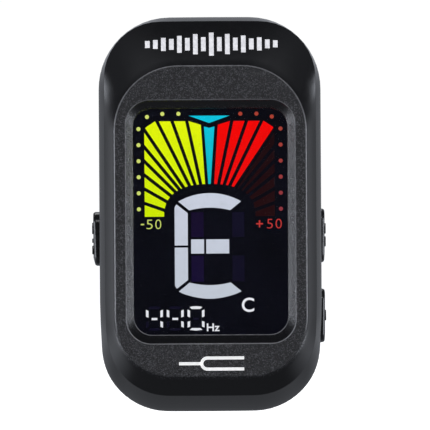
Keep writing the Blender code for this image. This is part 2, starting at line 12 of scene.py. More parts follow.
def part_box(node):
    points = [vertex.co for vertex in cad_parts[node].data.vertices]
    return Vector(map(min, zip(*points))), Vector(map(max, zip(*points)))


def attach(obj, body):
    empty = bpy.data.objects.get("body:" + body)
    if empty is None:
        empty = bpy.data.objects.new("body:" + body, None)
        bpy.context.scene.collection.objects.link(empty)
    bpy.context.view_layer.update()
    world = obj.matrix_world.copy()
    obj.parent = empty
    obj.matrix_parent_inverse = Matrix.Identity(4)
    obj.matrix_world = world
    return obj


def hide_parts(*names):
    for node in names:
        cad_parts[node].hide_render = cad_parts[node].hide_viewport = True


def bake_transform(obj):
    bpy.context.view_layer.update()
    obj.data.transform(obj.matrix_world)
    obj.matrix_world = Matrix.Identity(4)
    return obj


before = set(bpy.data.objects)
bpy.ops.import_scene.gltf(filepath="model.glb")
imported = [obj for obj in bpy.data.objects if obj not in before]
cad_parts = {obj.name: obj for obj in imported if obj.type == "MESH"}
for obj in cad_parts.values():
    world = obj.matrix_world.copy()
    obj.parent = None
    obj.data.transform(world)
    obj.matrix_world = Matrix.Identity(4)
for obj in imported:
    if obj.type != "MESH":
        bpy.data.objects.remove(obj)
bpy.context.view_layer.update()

MM = 0.001
CORNER_STEPS = 20
STRAIGHT_STEPS = 12
ROUND_STEPS = 64

cover_low, cover_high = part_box("front_cover")
FACE_Y = cover_low.y
MIDDLE_Z = (cover_low.z + cover_high.z) / 2

# Head outlines: half width, lowest, highest, radius of the lower and of the upper corners
FACE = (13.54, -22.7, 20.95, 8.2, 9.1)
SHOULDER = (14.98, -25.5, 27.2, 8.9, 7.9)
WAIST = (15.75, -27.85, 27.85, 9.6, 10.0)
CROWN = 0.15
# The sides draw in a little near the low end: by what share, where, and over what height
PINCH = (0.013, -18.6, 3.4)

# Depths of the head
SHOULDER_DEPTH = 2.0
WAIST_DEPTHS = (4.2, 5.6)
PARTING_DEPTH = 6.4
PARTING_GAP = 0.15
BACK_WALL_INSIDE = 11.2
BACK_ROUNDING = 2.0
HEAD_BACK = 12.4

# The front cover's inside: outlines with their depths
INSIDE = (
    ((14.4, -26.5, 26.6, 8.3, 8.7), PARTING_DEPTH),
    ((13.5, -23.2, 24.0, 7.5, 8.0), 3.4),
    ((13.0, -19.3, 17.3, 3.6, 3.6), 2.2),
    ((12.4, -18.55, 16.4, 3.3, 3.3), 1.2),
)

# The window's edges: half width, half height, corner radius
WINDOW_EDGE = (11.97, 17.2, 3.5)
SCREEN_EDGE = (10.88, 15.95, 2.55)
WINDOW_CENTRE_Z = -1.03
WINDOW_BEVEL_DEPTH = 0.9

# What sits on the head: (x, z) places, and the display's segments
CELL_CENTRE = (0.0, -12.5)
SCREW_PLACES = ((10.6, 22.2), (10.9, -21.6))
SEGMENT_DEPTHS = (2.16, 2.24)
DISPLAY_SHIFT = (-0.19, 0)
BUTTON_DEPTH = 6.85
BUTTON_HALF_LENGTH = 3.85
BUTTON_HALF_WIDTH = 1.5
# Name, side, height of the middle, and how far out the cap reaches
BUTTONS = (("power", -1, -3.4, 16.66), ("mode", 1, -3.1, 16.28), ("pitch", 1, -14.5, 16.28))

# The hub, and the axes (depth, z) of the tilt screw and of the jaw's pin
HUB_CENTRE = (0.0, 12.0)
HUB_DEPTHS = (12.6, 14.2)
KNURL_COUNT = 32
TILT_AXIS = (17.2, 12.0)
TILT_BORE = 1.15
JAW_PIN = (21.2, -3.0)
PIN_BORE = 1.35

# The jaws, pads and spring
JAW_HALF_WIDTH = 8.0
JAW_FOOT = -22.3
JAW_STRIP = (3.1, 5.3)
CHEEK_RADIUS = 2.6
LEVER_LENGTH = 13.0
LEVER_ANGLE = math.radians(45)
LEVER_ALONG = np.array([math.sin(LEVER_ANGLE), math.cos(LEVER_ANGLE)])
LEVER_AWAY = np.array([LEVER_ALONG[1], -LEVER_ALONG[0]])
RIB_COUNT = 7
RIB_START = 5.4
RIB_PITCH = 1.4
PAD_ENDS = (-21.5, -10.5)
PAD_HALF_WIDTH = 6.5
GROOVE_COUNT = 7
SPRING_RADIUS = 2.25
SPRING_HALF_WIDTH = 2.6
SPRING_TURNS = 4
SPRING_LEG = 8.0
WIRE_RADIUS = 0.5


def to_frame(points):
    """Head millimetres to the frame's metres, for an array of (x, depth, z)."""
    points = np.asarray(points, float) * MM
    return points + np.array([0.0, FACE_Y, MIDDLE_Z])


# Outlines


def arc(centre, radius, start, end, steps):
    """Points on an arc, with its angles in degrees."""
    angles = np.radians(np.linspace(start, end, steps + 1))
    return np.stack([centre[0] + radius * np.cos(angles), centre[1] + radius * np.sin(angles)], 1)


def circle(centre, radius, steps=ROUND_STEPS):
    return arc(centre, radius, 0, 360, steps)[:-1]


def outline(half_width, low, high, low_radius, high_radius, crown=0.0):
    """A rounded rectangle whose points correspond with those of any other made here."""
    lower, upper = low + low_radius, high - high_radius
    corners = []
    for start, side, z, radius in (
        (-90, 1, lower, low_radius),
        (0, 1, upper, high_radius),
        (90, -1, upper, high_radius),
        (180, -1, lower, low_radius),
    ):
        corners.append(arc((side * (half_width - radius), z), radius, start, start + 90, CORNER_STEPS))
    runs = []
    for corner, after in zip(corners, corners[1:] + corners[:1]):
        shares = np.linspace(0, 1, STRAIGHT_STEPS + 1)[1:-1, None]
        runs += [corner, corner[-1] + (after[0] - corner[-1]) * shares]
    points = np.concatenate(runs)
    crowns = np.where(points[:, 1] > (low + high) / 2, crown, -crown)
    points[:, 1] += crowns * (1 - (points[:, 0] / half_width) ** 2)
    if crown:
        share, middle, reach = PINCH
        points[:, 0] *= 1 - share * np.exp(-(((points[:, 1] - middle) / reach) ** 2))
    return points


def centred(half_width, half_height, radius):
    """A rounded rectangle about the middle of the window."""
    low, high = WINDOW_CENTRE_Z - half_height, WINDOW_CENTRE_Z + half_height
    return outline(half_width, low, high, radius, radius)


def inset(sizes, amount):
    """The sizes of an outline that lies inside another by some amount."""
    half_width, low, high, low_radius, high_radius = sizes
    return (half_width - amount, low + amount, high - amount, low_radius - amount, high_radius - amount)


def between(start, end, share):
    return start + (end - start) * share


def step_towards(start, end, reach):
    """Each point moved towards its partner by a fixed distance."""
    span = end - start
    return start + span * (reach / np.linalg.norm(span, axis=1, keepdims=True))


def crossing(origin, along, path):
    """Where a line first meets a path: the place, and the number of the stretch."""
    spans, offsets = path[1:] - path[:-1], path[:-1] - origin
    sizes = along[0] * spans[:, 1] - along[1] * spans[:, 0]
    sizes[np.abs(sizes) < 1e-9] = 1e-9
    reaches = (offsets[:, 0] * spans[:, 1] - offsets[:, 1] * spans[:, 0]) / sizes
    shares = (offsets[:, 0] * along[1] - offsets[:, 1] * along[0]) / sizes
    met = (reaches > 0) & (shares >= -1e-6) & (shares <= 1 + 1e-6)
    number = int(np.argmin(np.where(met, reaches, np.inf)))
    return path[number] + spans[number] * shares[number], number


def straight_out(sizes, target):
    """For each point of an outline, the point of another one straight out from it."""
    start = outline(*sizes)
    ways = outline(*inset(sizes, -1)) - start
    path = np.concatenate([target, target[:1]])
    return np.array([crossing(point, way, path)[0] for point, way in zip(start, ways)])


def smooth(values, start, end):
    share = np.clip((values - start) / (end - start), 0, 1)
    return share * share * (3 - 2 * share)


def stadium(centre, half_width, half_length, steps=16):
    """A slot with round ends, long in its second direction."""
    reach = half_length - half_width
    top = arc((centre[0], centre[1] + reach), half_width, 0, 180, steps)
    bottom = arc((centre[0], centre[1] - reach), half_width, 180, 360, steps)
    return np.concatenate([top, bottom])


def rectangle(low, high):
    return np.array([low, (high[0], low[1]), high, (low[0], high[1])], float)


def block(centre, half_width, half_height):
    """A rectangle about its middle."""
    x, z = centre
    return rectangle((x - half_width, z - half_height), (x + half_width, z + half_height))


# Meshes


def lift(points, height, axis):
    """Plane points at a height along an axis; across X the plane is (depth, z), across Y it is (x, z)."""
    points = np.asarray(points, float)
    heights = np.broadcast_to(height, len(points))
    columns = {"X": (heights, points[:, 0], points[:, 1]), "Y": (points[:, 0], heights, points[:, 1])}
    columns["Z"] = (points[:, 0], points[:, 1], heights)
    return np.stack(columns[axis], 1)


def add_object(name, data):
    obj = bpy.data.objects.new(name, data)
    bpy.context.scene.collection.objects.link(obj)
    return obj


def evaluated_mesh(obj):
    """The mesh that an object's modifiers or text make."""
    graph = bpy.context.evaluated_depsgraph_get()
    return bpy.data.meshes.new_from_object(obj.evaluated_get(graph), depsgraph=graph)


def mesh_object(name, points, faces, merge=0.0):
    """An object from head millimetres, with points nearer than merge made one."""
    mesh = bpy.data.meshes.new(name)
    mesh.from_pydata([tuple(p) for p in to_frame(points)], [], faces)
    bm = bmesh.new()
    bm.from_mesh(mesh)
    if merge:
        bmesh.ops.remove_doubles(bm, verts=bm.verts, dist=merge * MM)
    bmesh.ops.recalc_face_normals(bm, faces=bm.faces)
    bm.to_mesh(mesh)
    bm.free()
    return add_object(name, mesh)


def wall(lower, upper):
    """The faces between two rings of point numbers."""
    pairs = list(zip(lower, upper))
    return [[a, b, d, c] for (a, c), (b, d) in zip(pairs, pairs[1:] + pairs[:1])]


def loft(name, rings, closed=False):
    """A closed solid through rings with equal numbers of points; closed joins the last to the first."""
    count = len(rings[0])
    numbers = [list(range(k * count, (k + 1) * count)) for k in range(len(rings))]
    faces = [] if closed else [numbers[0], numbers[-1]]
    for lower, upper in zip(numbers, numbers[1:] + (numbers[:1] if closed else [])):
        faces += wall(lower, upper)
    return mesh_object(name, np.concatenate(rings), faces)


def plate(name, points, start, end, axis="Y", edge=0.0, segments=3):
    obj = loft(name, [lift(points, start, axis), lift(points, end, axis)])
    if edge:
        soften(obj, edge, segments)
        settle(obj)
    return obj


def turned(name, profile, centre, axis="Y", steps=ROUND_STEPS):
    """A solid of revolution from (radius, height) pairs."""
    return loft(name, [lift(circle(centre, radius, steps), height, axis) for radius, height in profile])


def ring_solid(name, profile, centre):
    """A washer across X, from a closed profile of (radius, height) pairs."""
    rings = [lift(circle(centre, radius, 48), height, "X") for radius, height in profile]
    return loft(name, rings, closed=True)


def bore(radius, start, end, centre, axis="X", steps=40):
    """A round cutter."""
    return turned("bore", [(radius, start), (radius, end)], centre, axis, steps)


def dome(radius, base, rise, degrees):
    """The profile of a rounded head, from its rim towards its top."""
    return [(radius * math.cos(t), base + rise * math.sin(t)) for t in np.radians(degrees)]


def slabs(name, outlines, depths=SEGMENT_DEPTHS):
    """Thin flat pieces side by side, as one object."""
    points, faces = [], []
    for shape in outlines:
        count, base = len(shape), sum(map(len, points))
        points += [lift(shape, depths[0], "Y"), lift(shape, depths[1], "Y")]
        front, back = list(range(base, base + count)), list(range(base + count, base + 2 * count))
        faces += [front, back, *wall(front, back)]
    return mesh_object(name, np.concatenate(points), faces)


def tube(name, path, radius, steps=14):
    """A round wire along a path, with domed ends."""
    path = np.asarray(path, float)
    tangents = np.gradient(path, axis=0)
    tangents /= np.linalg.norm(tangents, axis=1, keepdims=True)
    side = np.cross(tangents[0], (0.3, 0.5, 0.8))
    rings = []
    for number, (point, tangent) in enumerate(zip(path, tangents)):
        side = side - tangent * (side @ tangent)
        side /= np.linalg.norm(side)
        other = np.cross(tangent, side)
        turns = np.linspace(0, 2 * math.pi, steps, endpoint=False)
        spokes = np.outer(np.cos(turns), side) + np.outer(np.sin(turns), other)
        ends = ((0.35, -0.6), (0.8, -0.35)) if number == 0 else ()
        ends += ((1.0, 0.0),)
        if number == len(path) - 1:
            ends += ((0.8, 0.35), (0.35, 0.6))
        rings += [point + radius * (spokes * share + tangent * lead) for share, lead in ends]
    return loft(name, rings)


def soften(obj, width, segments):
    """Rounds the sharp edges."""
    bevel = obj.modifiers.new("edges", "BEVEL")
    bevel.width = width * MM
    bevel.segments = segments
    bevel.limit_method = "ANGLE"
    bevel.angle_limit = math.radians(30)


def combine(obj, operation, tools):
    """Joins or cuts with other objects, which are used up."""
    for tool in tools:
        change = obj.modifiers.new("shape", "BOOLEAN")
        change.operation = operation
        change.solver = "EXACT"
        change.object = tool
    settle(obj)


def settle(obj):
    """Makes the modifiers' result the object's own mesh, and removes the tools."""
    tools = [change.object for change in obj.modifiers if change.type == "BOOLEAN"]
    mesh = evaluated_mesh(obj)
    obj.modifiers.clear()
    obj.data = mesh
    for tool in tools:
        bpy.data.objects.remove(tool, do_unlink=True)


def finish_piece(obj, material, body, replaced=(), sharp=35, weighted=True):
    """Shading, material, and the place in the frame of a finished piece."""
    obj.data.materials.clear()
    obj.data.materials.append(material)
    obj.data.shade_smooth()
    obj.data.set_sharp_from_angle(angle=math.radians(sharp))
    if weighted:
        normals = obj.modifiers.new("normals", "WEIGHTED_NORMAL")
        normals.keep_sharp = True
        normals.weight = 60
    if body:
        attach(obj, body)
    if replaced:
        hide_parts(*replaced)
    return obj


# Materials


def srgb(red, green, blue):
    """The linear colour of an sRGB one, 0 to 255."""
    values = [v / 255 for v in (red, green, blue)]
    return tuple(v / 12.92 if v <= 0.04045 else ((v + 0.055) / 1.055) ** 2.4 for v in values)


class Nodes:
    """Short ways to build a node tree. An input takes a number, a colour or another node's output."""

    def __init__(self, tree, curve="LINEAR"):
        self.tree = tree
        self.curve = curve

    def feed(self, socket, value):
        if isinstance(value, bpy.types.NodeSocket):
            self.tree.links.new(value, socket)
        elif socket.type == "RGBA":
            socket.default_value = (*value, 1)
        else:
            socket.default_value = value

    def node(self, kind, inputs=None, **settings):
        """A new node, with what its inputs take, by name or number."""
        made = self.tree.nodes.new("ShaderNode" + kind)
        for key, value in settings.items():
            setattr(made, key, value)
        for key, value in (inputs or {}).items():
            self.feed(made.inputs[key], value)
        return made

    def maths(self, operation, first, *others):
        """An operation on two values, or on more from the left."""
        for other in others:
            first = self.node("Math", {0: first, 1: other}, operation=operation).outputs[0]
        return first

    def ranged(self, value, from_low, from_high, to_low, to_high):
        """A number carried from one range to another, and held within it."""
        ends = {"From Min": from_low, "From Max": from_high, "To Min": to_low, "To Max": to_high}
        made = self.node("MapRange", {"Value": value, **ends}, interpolation_type=self.curve)
        return made.outputs["Result"]

    def mixed(self, factor, first, second):
        """A colour between two."""
        return self.node("Mix", {"Factor": factor, 6: first, 7: second}, data_type="RGBA").outputs[2]


class Finish(Nodes):
    """A Principled material with helpers for its procedural detail. Texture space is the frame, in metres."""

    def __init__(self, name, colour, roughness, metallic=0.0, **inputs):
        self.material = bpy.data.materials.new(name)
        self.material.use_nodes = True
        super().__init__(self.material.node_tree)
        self.shader = self.tree.nodes["Principled BSDF"]
        self.surface(Base_Color=colour, Roughness=roughness, Metallic=metallic, **inputs)
        self.place = self.node("TexCoord").outputs["Object"]

    def surface(self, **inputs):
        """Feeds the shader's inputs, whose names have _ for a space."""
        for key, value in inputs.items():
            self.feed(self.shader.inputs[key.replace("_", " ")], value)
        return self

    def noise(self, scale, detail=3.0, roughness=0.55, stretch=None):
        place = self.place
        if stretch:
            place = self.node("Mapping", {"Vector": place, "Scale": stretch}).outputs["Vector"]
        sizes = {"Scale": scale, "Detail": detail, "Roughness": roughness}
        return self.node("TexNoise", {"Vector": place, **sizes}).outputs["Fac"]

    def cell_edges(self, scale):
        inputs = {"Vector": self.place, "Scale": scale}
        return self.node("TexVoronoi", inputs, feature="DISTANCE_TO_EDGE").outputs["Distance"]

    def attribute(self, name):
        return self.node("Attribute", attribute_name=name).outputs["Fac"]

    def colour(self, factor, first, second):
        return self.surface(Base_Color=self.mixed(factor, first, second))

    def roughness(self, factor, low, high):
        return self.surface(Roughness=self.ranged(factor, 0, 1, low, high))

    def glow(self, colour, strength):
        return self.surface(Emission_Color=colour, Emission_Strength=strength)

    def bump(self, height, distance):
        made = self.node("Bump", {"Strength": 1.0, "Distance": distance * MM, "Height": height})
        return self.surface(Normal=made.outputs["Normal"])


def case_finish():
    """Black moulded plastic: satin, spark-eroded where the grain attribute says so, with a pale painted
    highlight, made uneven by noise, on the edges that the front cover marks for it.
    """
    made = Finish("case_plastic", (0.01, 0.01, 0.011), 0.3)
    grain = made.attribute("grain")
    fine = made.noise(6100, 1.0, 0.7)
    coarse = made.noise(1900, 2.0, 0.5)
    texture = made.maths("ADD", made.maths("MULTIPLY", fine, 0.8), made.maths("MULTIPLY", coarse, 0.2))
    speckle = made.maths("MULTIPLY", made.ranged(texture, 0.52, 0.64, 0, 1), grain)
    body = made.mixed(speckle, (0.0045, 0.0045, 0.006), (0.096, 0.093, 0.105))
    # Painted highlight: pale grey laid over the marked edges in place of light caught by them, made uneven by
    # noise.
    highlight_unevenness = made.ranged(made.noise(1200, 4.0, 0.7), 0.25, 0.6, 0.55, 1)
    made.colour(made.maths("MULTIPLY", made.attribute("painted_highlight"), highlight_unevenness), body, (0.42, 0.42, 0.44))
    satin = made.ranged(made.noise(900, 3.0), 0.3, 0.7, 0.17, 0.21)
    rough = made.maths("ADD", satin, made.maths("MULTIPLY", grain, 0.17))
    made.surface(Roughness=rough)
    relief = made.maths("ADD", made.maths("MULTIPLY", texture, grain), made.maths("MULTIPLY", fine, 0.02))
    return made.bump(relief, 0.2).material


def clip_finish():
    made = Finish("clip_plastic", (0.022, 0.022, 0.024), 0.4)
    grain = made.noise(5200, 2.0, 0.6)
    made.colour(made.ranged(grain, 0.4, 0.65, 0, 1), (0.018, 0.018, 0.02), (0.036, 0.036, 0.039))
    made.roughness(made.noise(700), 0.32, 0.46)
    return made.bump(grain, 0.016).material


def rubber_finish(name, dark, light, roughness=0.62):
    made = Finish(name, dark, roughness)
    dust = made.noise(2600, 4.0, 0.6)
    made.colour(made.ranged(dust, 0.42, 0.68, 0, 1), dark, light)
    made.roughness(made.noise(1300), roughness - 0.1, roughness + 0.12)
    return made.bump(dust, 0.012).material


def metal_finish(name, dark, light, roughness, stretch):
    """Metal with fine lines across one direction and faint handling marks."""
    made = Finish(name, light, roughness, 1.0)
    lines = made.noise(1500, 4.0, 0.65, stretch)
    marks = made.noise(420, 5.0, 0.6)
    made.colour(made.ranged(marks, 0.4, 0.7, 0, 1), light, dark)
    uneven = made.maths("MULTIPLY", made.maths("ADD", lines, marks), 0.5)
    made.roughness(uneven, roughness - 0.1, roughness + 0.22)
    return made.bump(lines, 0.004).material


def plain_finish(name, dark, light, roughness, scale=1500, relief=0.008, **inputs):
    made = Finish(name, dark, roughness, **inputs)
    cloud = made.noise(scale, 4.0, 0.6)
    made.colour(made.ranged(cloud, 0.35, 0.7, 0, 1), dark, light)
    made.roughness(made.noise(scale / 2), roughness - 0.08, roughness + 0.1)
    return made.bump(cloud, relief).material


def lens_finish():
    made = Finish("clear_window", (1, 1, 1), 0.02, Transmission_Weight=1.0, IOR=1.46)
    made.roughness(made.noise(350, 5.0, 0.7), 0.0, 0.04)
    return made.material


def panel_finish():
    """The black glass of the display, with the very faint rows of its electrodes."""
    made = Finish("display_glass", srgb(12, 13, 20), 0.16)
    tint = made.noise(120, 2.0)
    rows = made.noise(900, 1.0, 0.5, (1, 1, 0.05))
    made.colour(made.maths("MULTIPLY", tint, rows), srgb(8, 9, 13), srgb(16, 18, 30))
    made.roughness(rows, 0.04, 0.1)
    return made.glow(made.mixed(tint, srgb(8, 9, 13), srgb(16, 16, 27)), 0.75).material


def lit_finish(name, low_colour, high_colour, low_z, high_z):
    """A lit display segment: its colour shifts with height, over the diffuser's faint unevenness."""
    made = Finish(name, (0.004, 0.004, 0.004), 0.35, Specular_IOR_Level=0.0)
    separate = made.node("SeparateXYZ", {"Vector": made.place})
    ends = [MIDDLE_Z + z * MM for z in (low_z, high_z)]
    rise = made.ranged(separate.outputs["Z"], *ends, 0, 1)
    ramp = made.mixed(rise, srgb(*low_colour), srgb(*high_colour))
    dim = tuple(0.82 * value for value in srgb(*low_colour))
    patches = made.ranged(made.noise(900, 3.0), 0.52, 0.75, 0, 0.3)
    return made.glow(made.mixed(patches, ramp, dim), 1.0).material


def board_finish():
    made = Finish("circuit_board", (0.01, 0.12, 0.05), 0.35)
    tracks = made.cell_edges(520)
    copper = made.ranged(tracks, 0.03, 0.05, 1, 0)
    made.colour(copper, (0.006, 0.09, 0.035), (0.02, 0.22, 0.09))
    made.roughness(made.noise(900), 0.25, 0.4)
    return made.bump(copper, 0.02).material


def ink_finish(name, dark, light, glow):
    made = Finish(name, light, 0.38, 0.35)
    flakes = made.noise(2600, 3.0, 0.6)
    colour = made.mixed(made.ranged(flakes, 0.4, 0.65, 0, 1), dark, light)
    # The print also glows with its own colour: painted light that keeps it bright whatever lights it.
    made.surface(Base_Color=colour).glow(colour, glow).roughness(made.noise(1400), 0.3, 0.5)
    return made.bump(flakes, 0.004).material


# Head shells


def front_rings():
    """The front cover's rings, from the window's edge over the outside and back through the inside.

    Each is an outline, its depth, how much of it has the spark-eroded grain, which on the window's bevel is
    thinned at the top and bottom as painted shade, and how strong a painted highlight it has.
    """
    screen, window, face = centred(*SCREEN_EDGE), centred(*WINDOW_EDGE), outline(*FACE)
    shoulder, waist = (straight_out(FACE, outline(*sizes, CROWN)) for sizes in (SHOULDER, WAIST))
    return (
        bevel_rings(screen, window, face)
        + slope_rings(window, face, shoulder)
        + side_rings(face, shoulder, waist)
        + [(outline(*sizes), depth, 0, 0) for sizes, depth in INSIDE]
    )


def bevel_rings(screen, window, face):
    """Round the window: the wall at the pane, the bevel, its edge and the plateau. The lower edges carry pale
    painted highlight lines, and the bevel's grain is thinned at its top and bottom, which paints shade there.
    """
    # Painted highlight along the window's lower edges, and painted shade on the bevel: less pale grain at its
    # top and bottom than at its sides.
    low_rim = smooth(window[:, 1], -13.5, -17.3)
    painted_edge_highlight = 0.45 + 0.55 * low_rim
    bevel_grain_and_painted_shade = 0.42 - 0.34 * smooth(np.abs(window[:, 1] - WINDOW_CENTRE_Z), 13.5, 17)
    rings = [(screen, 1.2, 0, 0), (screen, 1.05, 0, 0), (screen, 0.97, 0, low_rim)]
    rings.append((step_towards(screen, window, 0.06), WINDOW_BEVEL_DEPTH, 0.2, low_rim))
    rings.append((step_towards(screen, window, 0.14), 0.83, 0.3, 0))
    for share in (0.5, 0.85):
        rings.append((between(screen, window, share), WINDOW_BEVEL_DEPTH * (1 - share), bevel_grain_and_painted_shade, 0))
    rings.append((step_towards(window, screen, 0.07), 0.05, 0.4, 0))
    rings.append((window, 0.012, 0.5, painted_edge_highlight))
    rings.append((step_towards(window, face, 0.06), 0.0, 0.8, painted_edge_highlight))
    rings.append((step_towards(window, face, 0.13), 0.0, 1, 0))
    return rings + [(between(window, face, share), 0.0, 1, 0) for share in (0.3, 0.55, 0.8)]


def slope_rings(window, face, shoulder):
    """From the plateau down to the shoulder: a crease all round, with a pale painted highlight line along its
    top and sides, but a soft turn at the low end.
    """
    soft = smooth(face[:, 1], -14.0, -19.5)
    crisp = 1 - soft
    # Painted highlight along the crease, fading out towards the low end.
    line = 0.68 * (1 - smooth(face[:, 1], -12.5, -17.5))
    fillet = 0.05 * SHOULDER_DEPTH / np.linalg.norm(shoulder - face, axis=1)
    start = 2.4 * fillet
    rings = [(step_towards(face, window, 0.12), 0.0, 1, 0)]
    rings.append((step_towards(face, window, 0.05), 0.0, crisp * 0.3 + soft, line))
    rings.append((face, 0.3 * fillet * crisp, soft, line))
    rings.append((step_towards(face, shoulder, 0.05), fillet * crisp, soft, line))
    rings.append((step_towards(face, shoulder, 0.12), start * crisp, soft, 0))
    for share in (0.09, 0.16, 0.25, 0.35, 0.5, 0.65, 0.8, 0.92, 0.98):
        gentle = share - 0.17 if share > 0.34 else share**2 / 0.68
        straight = start + (SHOULDER_DEPTH - start) * (0.86 * share + 0.14 * share**2)
        depth = straight * crisp + SHOULDER_DEPTH * gentle / 0.83 * soft
        rings.append((between(face, shoulder, share), depth, soft * (1 - smooth(share, -0.15, 0.32)), 0))
    return rings


def side_rings(face, shoulder, waist):
    """From the shoulder over the rim to the parting line."""
    rise = between(*WAIST_DEPTHS, smooth(face[:, 1], -14, -21)) - SHOULDER_DEPTH
    rings = []
    for share in (0.0, 0.02, 0.1, 0.3, 0.5, 0.7, 0.86, 0.95, 1.0):
        spread = between(shoulder, waist, 1 - (1 - share) ** 1.12)
        rings.append((spread, SHOULDER_DEPTH + rise * share, 0, 0))
    edge = straight_out(FACE, outline(*inset(WAIST, 0.08), CROWN))
    return rings + [(waist, PARTING_DEPTH - 0.1, 0, 0), (edge, PARTING_DEPTH, 0, 0)]


def add_values(obj, name, values):
    """A number for each point, which the case's material reads."""
    attribute = obj.data.attributes.new(name, "FLOAT", "POINT")
    spread = np.broadcast_to(np.asarray(values, np.float32), len(obj.data.vertices))
    attribute.data.foreach_set("value", np.ascontiguousarray(spread))


def button_cutters():
    cutters = []
    for _, side, z, _ in BUTTONS:
        for spread, start, end in ((PARTING_GAP, 13.0, 18.0), (1.0, 12.9, 14.45)):
            shape = stadium((BUTTON_DEPTH, z), BUTTON_HALF_WIDTH + spread, BUTTON_HALF_LENGTH + spread)
            cutters.append(plate("button_cutter", shape, side * start, side * end, "X"))
    return cutters


def make_front_cover(material):
    rings = front_rings()
    cover = loft("front_cover_shell", [lift(ring[0], ring[1], "Y") for ring in rings], closed=True)
    # The grain column also holds painted shade on the window's bevel; the last column is a painted highlight.
    for name, place in (("grain", 2), ("painted_highlight", 3)):
        values = [np.broadcast_to(ring[place], len(ring[0])) for ring in rings]
        add_values(cover, name, np.concatenate(values))
    combine(cover, "DIFFERENCE", button_cutters())
    return finish_piece(cover, material, "head", ["front_cover"], sharp=50)


def screw_places():
    return [(side * x, z) for x, z in SCREW_PLACES for side in (-1, 1)]


def door_block(name, angle, radial, half_width, depths):
    """A block that points outwards from the middle of the cell."""
    out = np.array([math.cos(math.radians(angle)), math.sin(math.radians(angle))])
    across = np.array([-out[1], out[0]])
    corners = rectangle((radial[0], -half_width), (radial[1], half_width))
    return plate(name, [np.array(CELL_CENTRE) + out * r + across * w for r, w in corners], *depths)


def make_rear_cover(material):
    start = PARTING_DEPTH + PARTING_GAP
    outlines = [(inset(WAIST, 2.4), 0, BACK_WALL_INSIDE), (inset(WAIST, 1.6), 0, 10.2)]
    outlines += [(inset(WAIST, 1.35), 0, start), (inset(WAIST, 0.08), CROWN, start)]
    outlines += [(WAIST, CROWN, depth) for depth in (start + 0.1, 8.0, HEAD_BACK - BACK_ROUNDING)]
    for turn in np.radians(np.linspace(0, 90, 9)[1:]):
        sizes = inset(WAIST, BACK_ROUNDING * (1 - math.cos(turn)))
        depth = HEAD_BACK - BACK_ROUNDING + BACK_ROUNDING * math.sin(turn)
        outlines.append((sizes, CROWN * math.cos(turn), depth))
    outlines.append((inset(WAIST, BACK_ROUNDING + 0.4), 0, HEAD_BACK))
    rings = [lift(outline(*sizes, crown), depth, "Y") for sizes, crown, depth in outlines]
    cover = loft("rear_cover_shell", rings)
    door_profile = [(11.2, 10.9), (11.2, 12.25), (11.35, 12.4), (11.6, 12.6)]
    cutters = [bore(3.25, 10.0, 13.0, HUB_CENTRE, "Y", ROUND_STEPS)]
    cutters.append(turned("cutter", door_profile, CELL_CENTRE, steps=96))
    cutters += [door_block("cutter", angle, (10.5, 12.4), 2.3, (10.9, 13.0)) for angle in (140, 260, 20)]
    screw_profile = [(1.1, 10.5), (1.1, 11.35), (1.75, 11.35), (1.75, 12.25), (1.9, 12.45), (2.1, 12.7)]
    cutters += [turned("cutter", screw_profile, place, steps=40) for place in screw_places()]
    combine(cover, "DIFFERENCE", cutters + button_cutters())
    add_values(cover, "grain", 0.5)
    finish_piece(cover, material, "head", ["rear_cover"], sharp=40)


def make_battery_door(material):
    inside = BACK_WALL_INSIDE
    profile = [(10.4, inside), (11.0, inside + 0.05), (11.0, 12.18), (10.82, 12.36), (10.6, HEAD_BACK)]
    profile += [(8.6, HEAD_BACK), (8.45, 12.28), (8.2, 12.28), (8.05, HEAD_BACK), (7.6, HEAD_BACK)]
    door = turned("battery_door_cap", profile, CELL_CENTRE, steps=128)
    lugs = []
    for angle in (90, 210, 330):
        lugs.append(door_block("lug", angle, (10.3, 10.75), 2.0, (10.4, 11.6)))
        lugs.append(door_block("lug", angle, (10.3, 12.0), 2.0, (10.4, 11.0)))
    combine(door, "UNION", lugs)
    x, z = CELL_CENTRE
    slot = plate("slot", stadium((z, x), 0.9, 6.0)[:, ::-1], 11.8, 13.0)
    dimple = turned("dimple", [(2.0, 12.1), (2.4, 12.3), (2.9, 12.45), (3.2, 12.6)], CELL_CENTRE)
    combine(door, "DIFFERENCE", [slot, dimple])
    add_values(door, "grain", 0.4)
    finish_piece(door, material, "door", ["battery_door"], sharp=40)


def turning_marks():
    """A raised sign on the door: an arc that ends in an arrow head."""
    band = np.concatenate([arc(CELL_CENTRE, 9.95, 28, 58, 14), arc(CELL_CENTRE, 9.55, 58, 28, 14)])
    tip = arc(CELL_CENTRE, 9.75, 64, 64, 0)
    wings = [arc(CELL_CENTRE, radius, 57, 57, 0) for radius in (9.15, 10.35)]
    return [band, np.concatenate([tip, *wings])]


# Window and display

FAN_CENTRE = np.array([0.0, -1.67])
FAN_TOP = 13.2
FAN_SIDE = 9.2
FAN_BOTTOM = -0.29
FAN_GAP = 0.48
FAN_EDGES = (
    [(0.96, 12.6)]
    + [(x, FAN_TOP) for x in (3.18, 5.26, 7.4)]
    + [(FAN_SIDE, z) for z in (12.0, 9.55, 7.53, 5.58, 3.62, 1.6)]
)
# The rounded space inside the fan: half width, half height, middle and how square it is
FAN_INNER = (6.5, 4.8, -0.5, 2.5)
# The fan's outer edge on the right-hand side, from beside the pointer round to its lower end
FAN_PATH = [(1.0, 12.62), (2.9, FAN_TOP), (7.7, FAN_TOP), (8.97, 12.36)]
FAN_PATH += [(FAN_SIDE, 11.95), (FAN_SIDE, FAN_BOTTOM)]
DOT_RADIUS = 0.29
DIGIT_PLACE = (-7.83, -0.4)
DIGIT_PITCH = 2.94


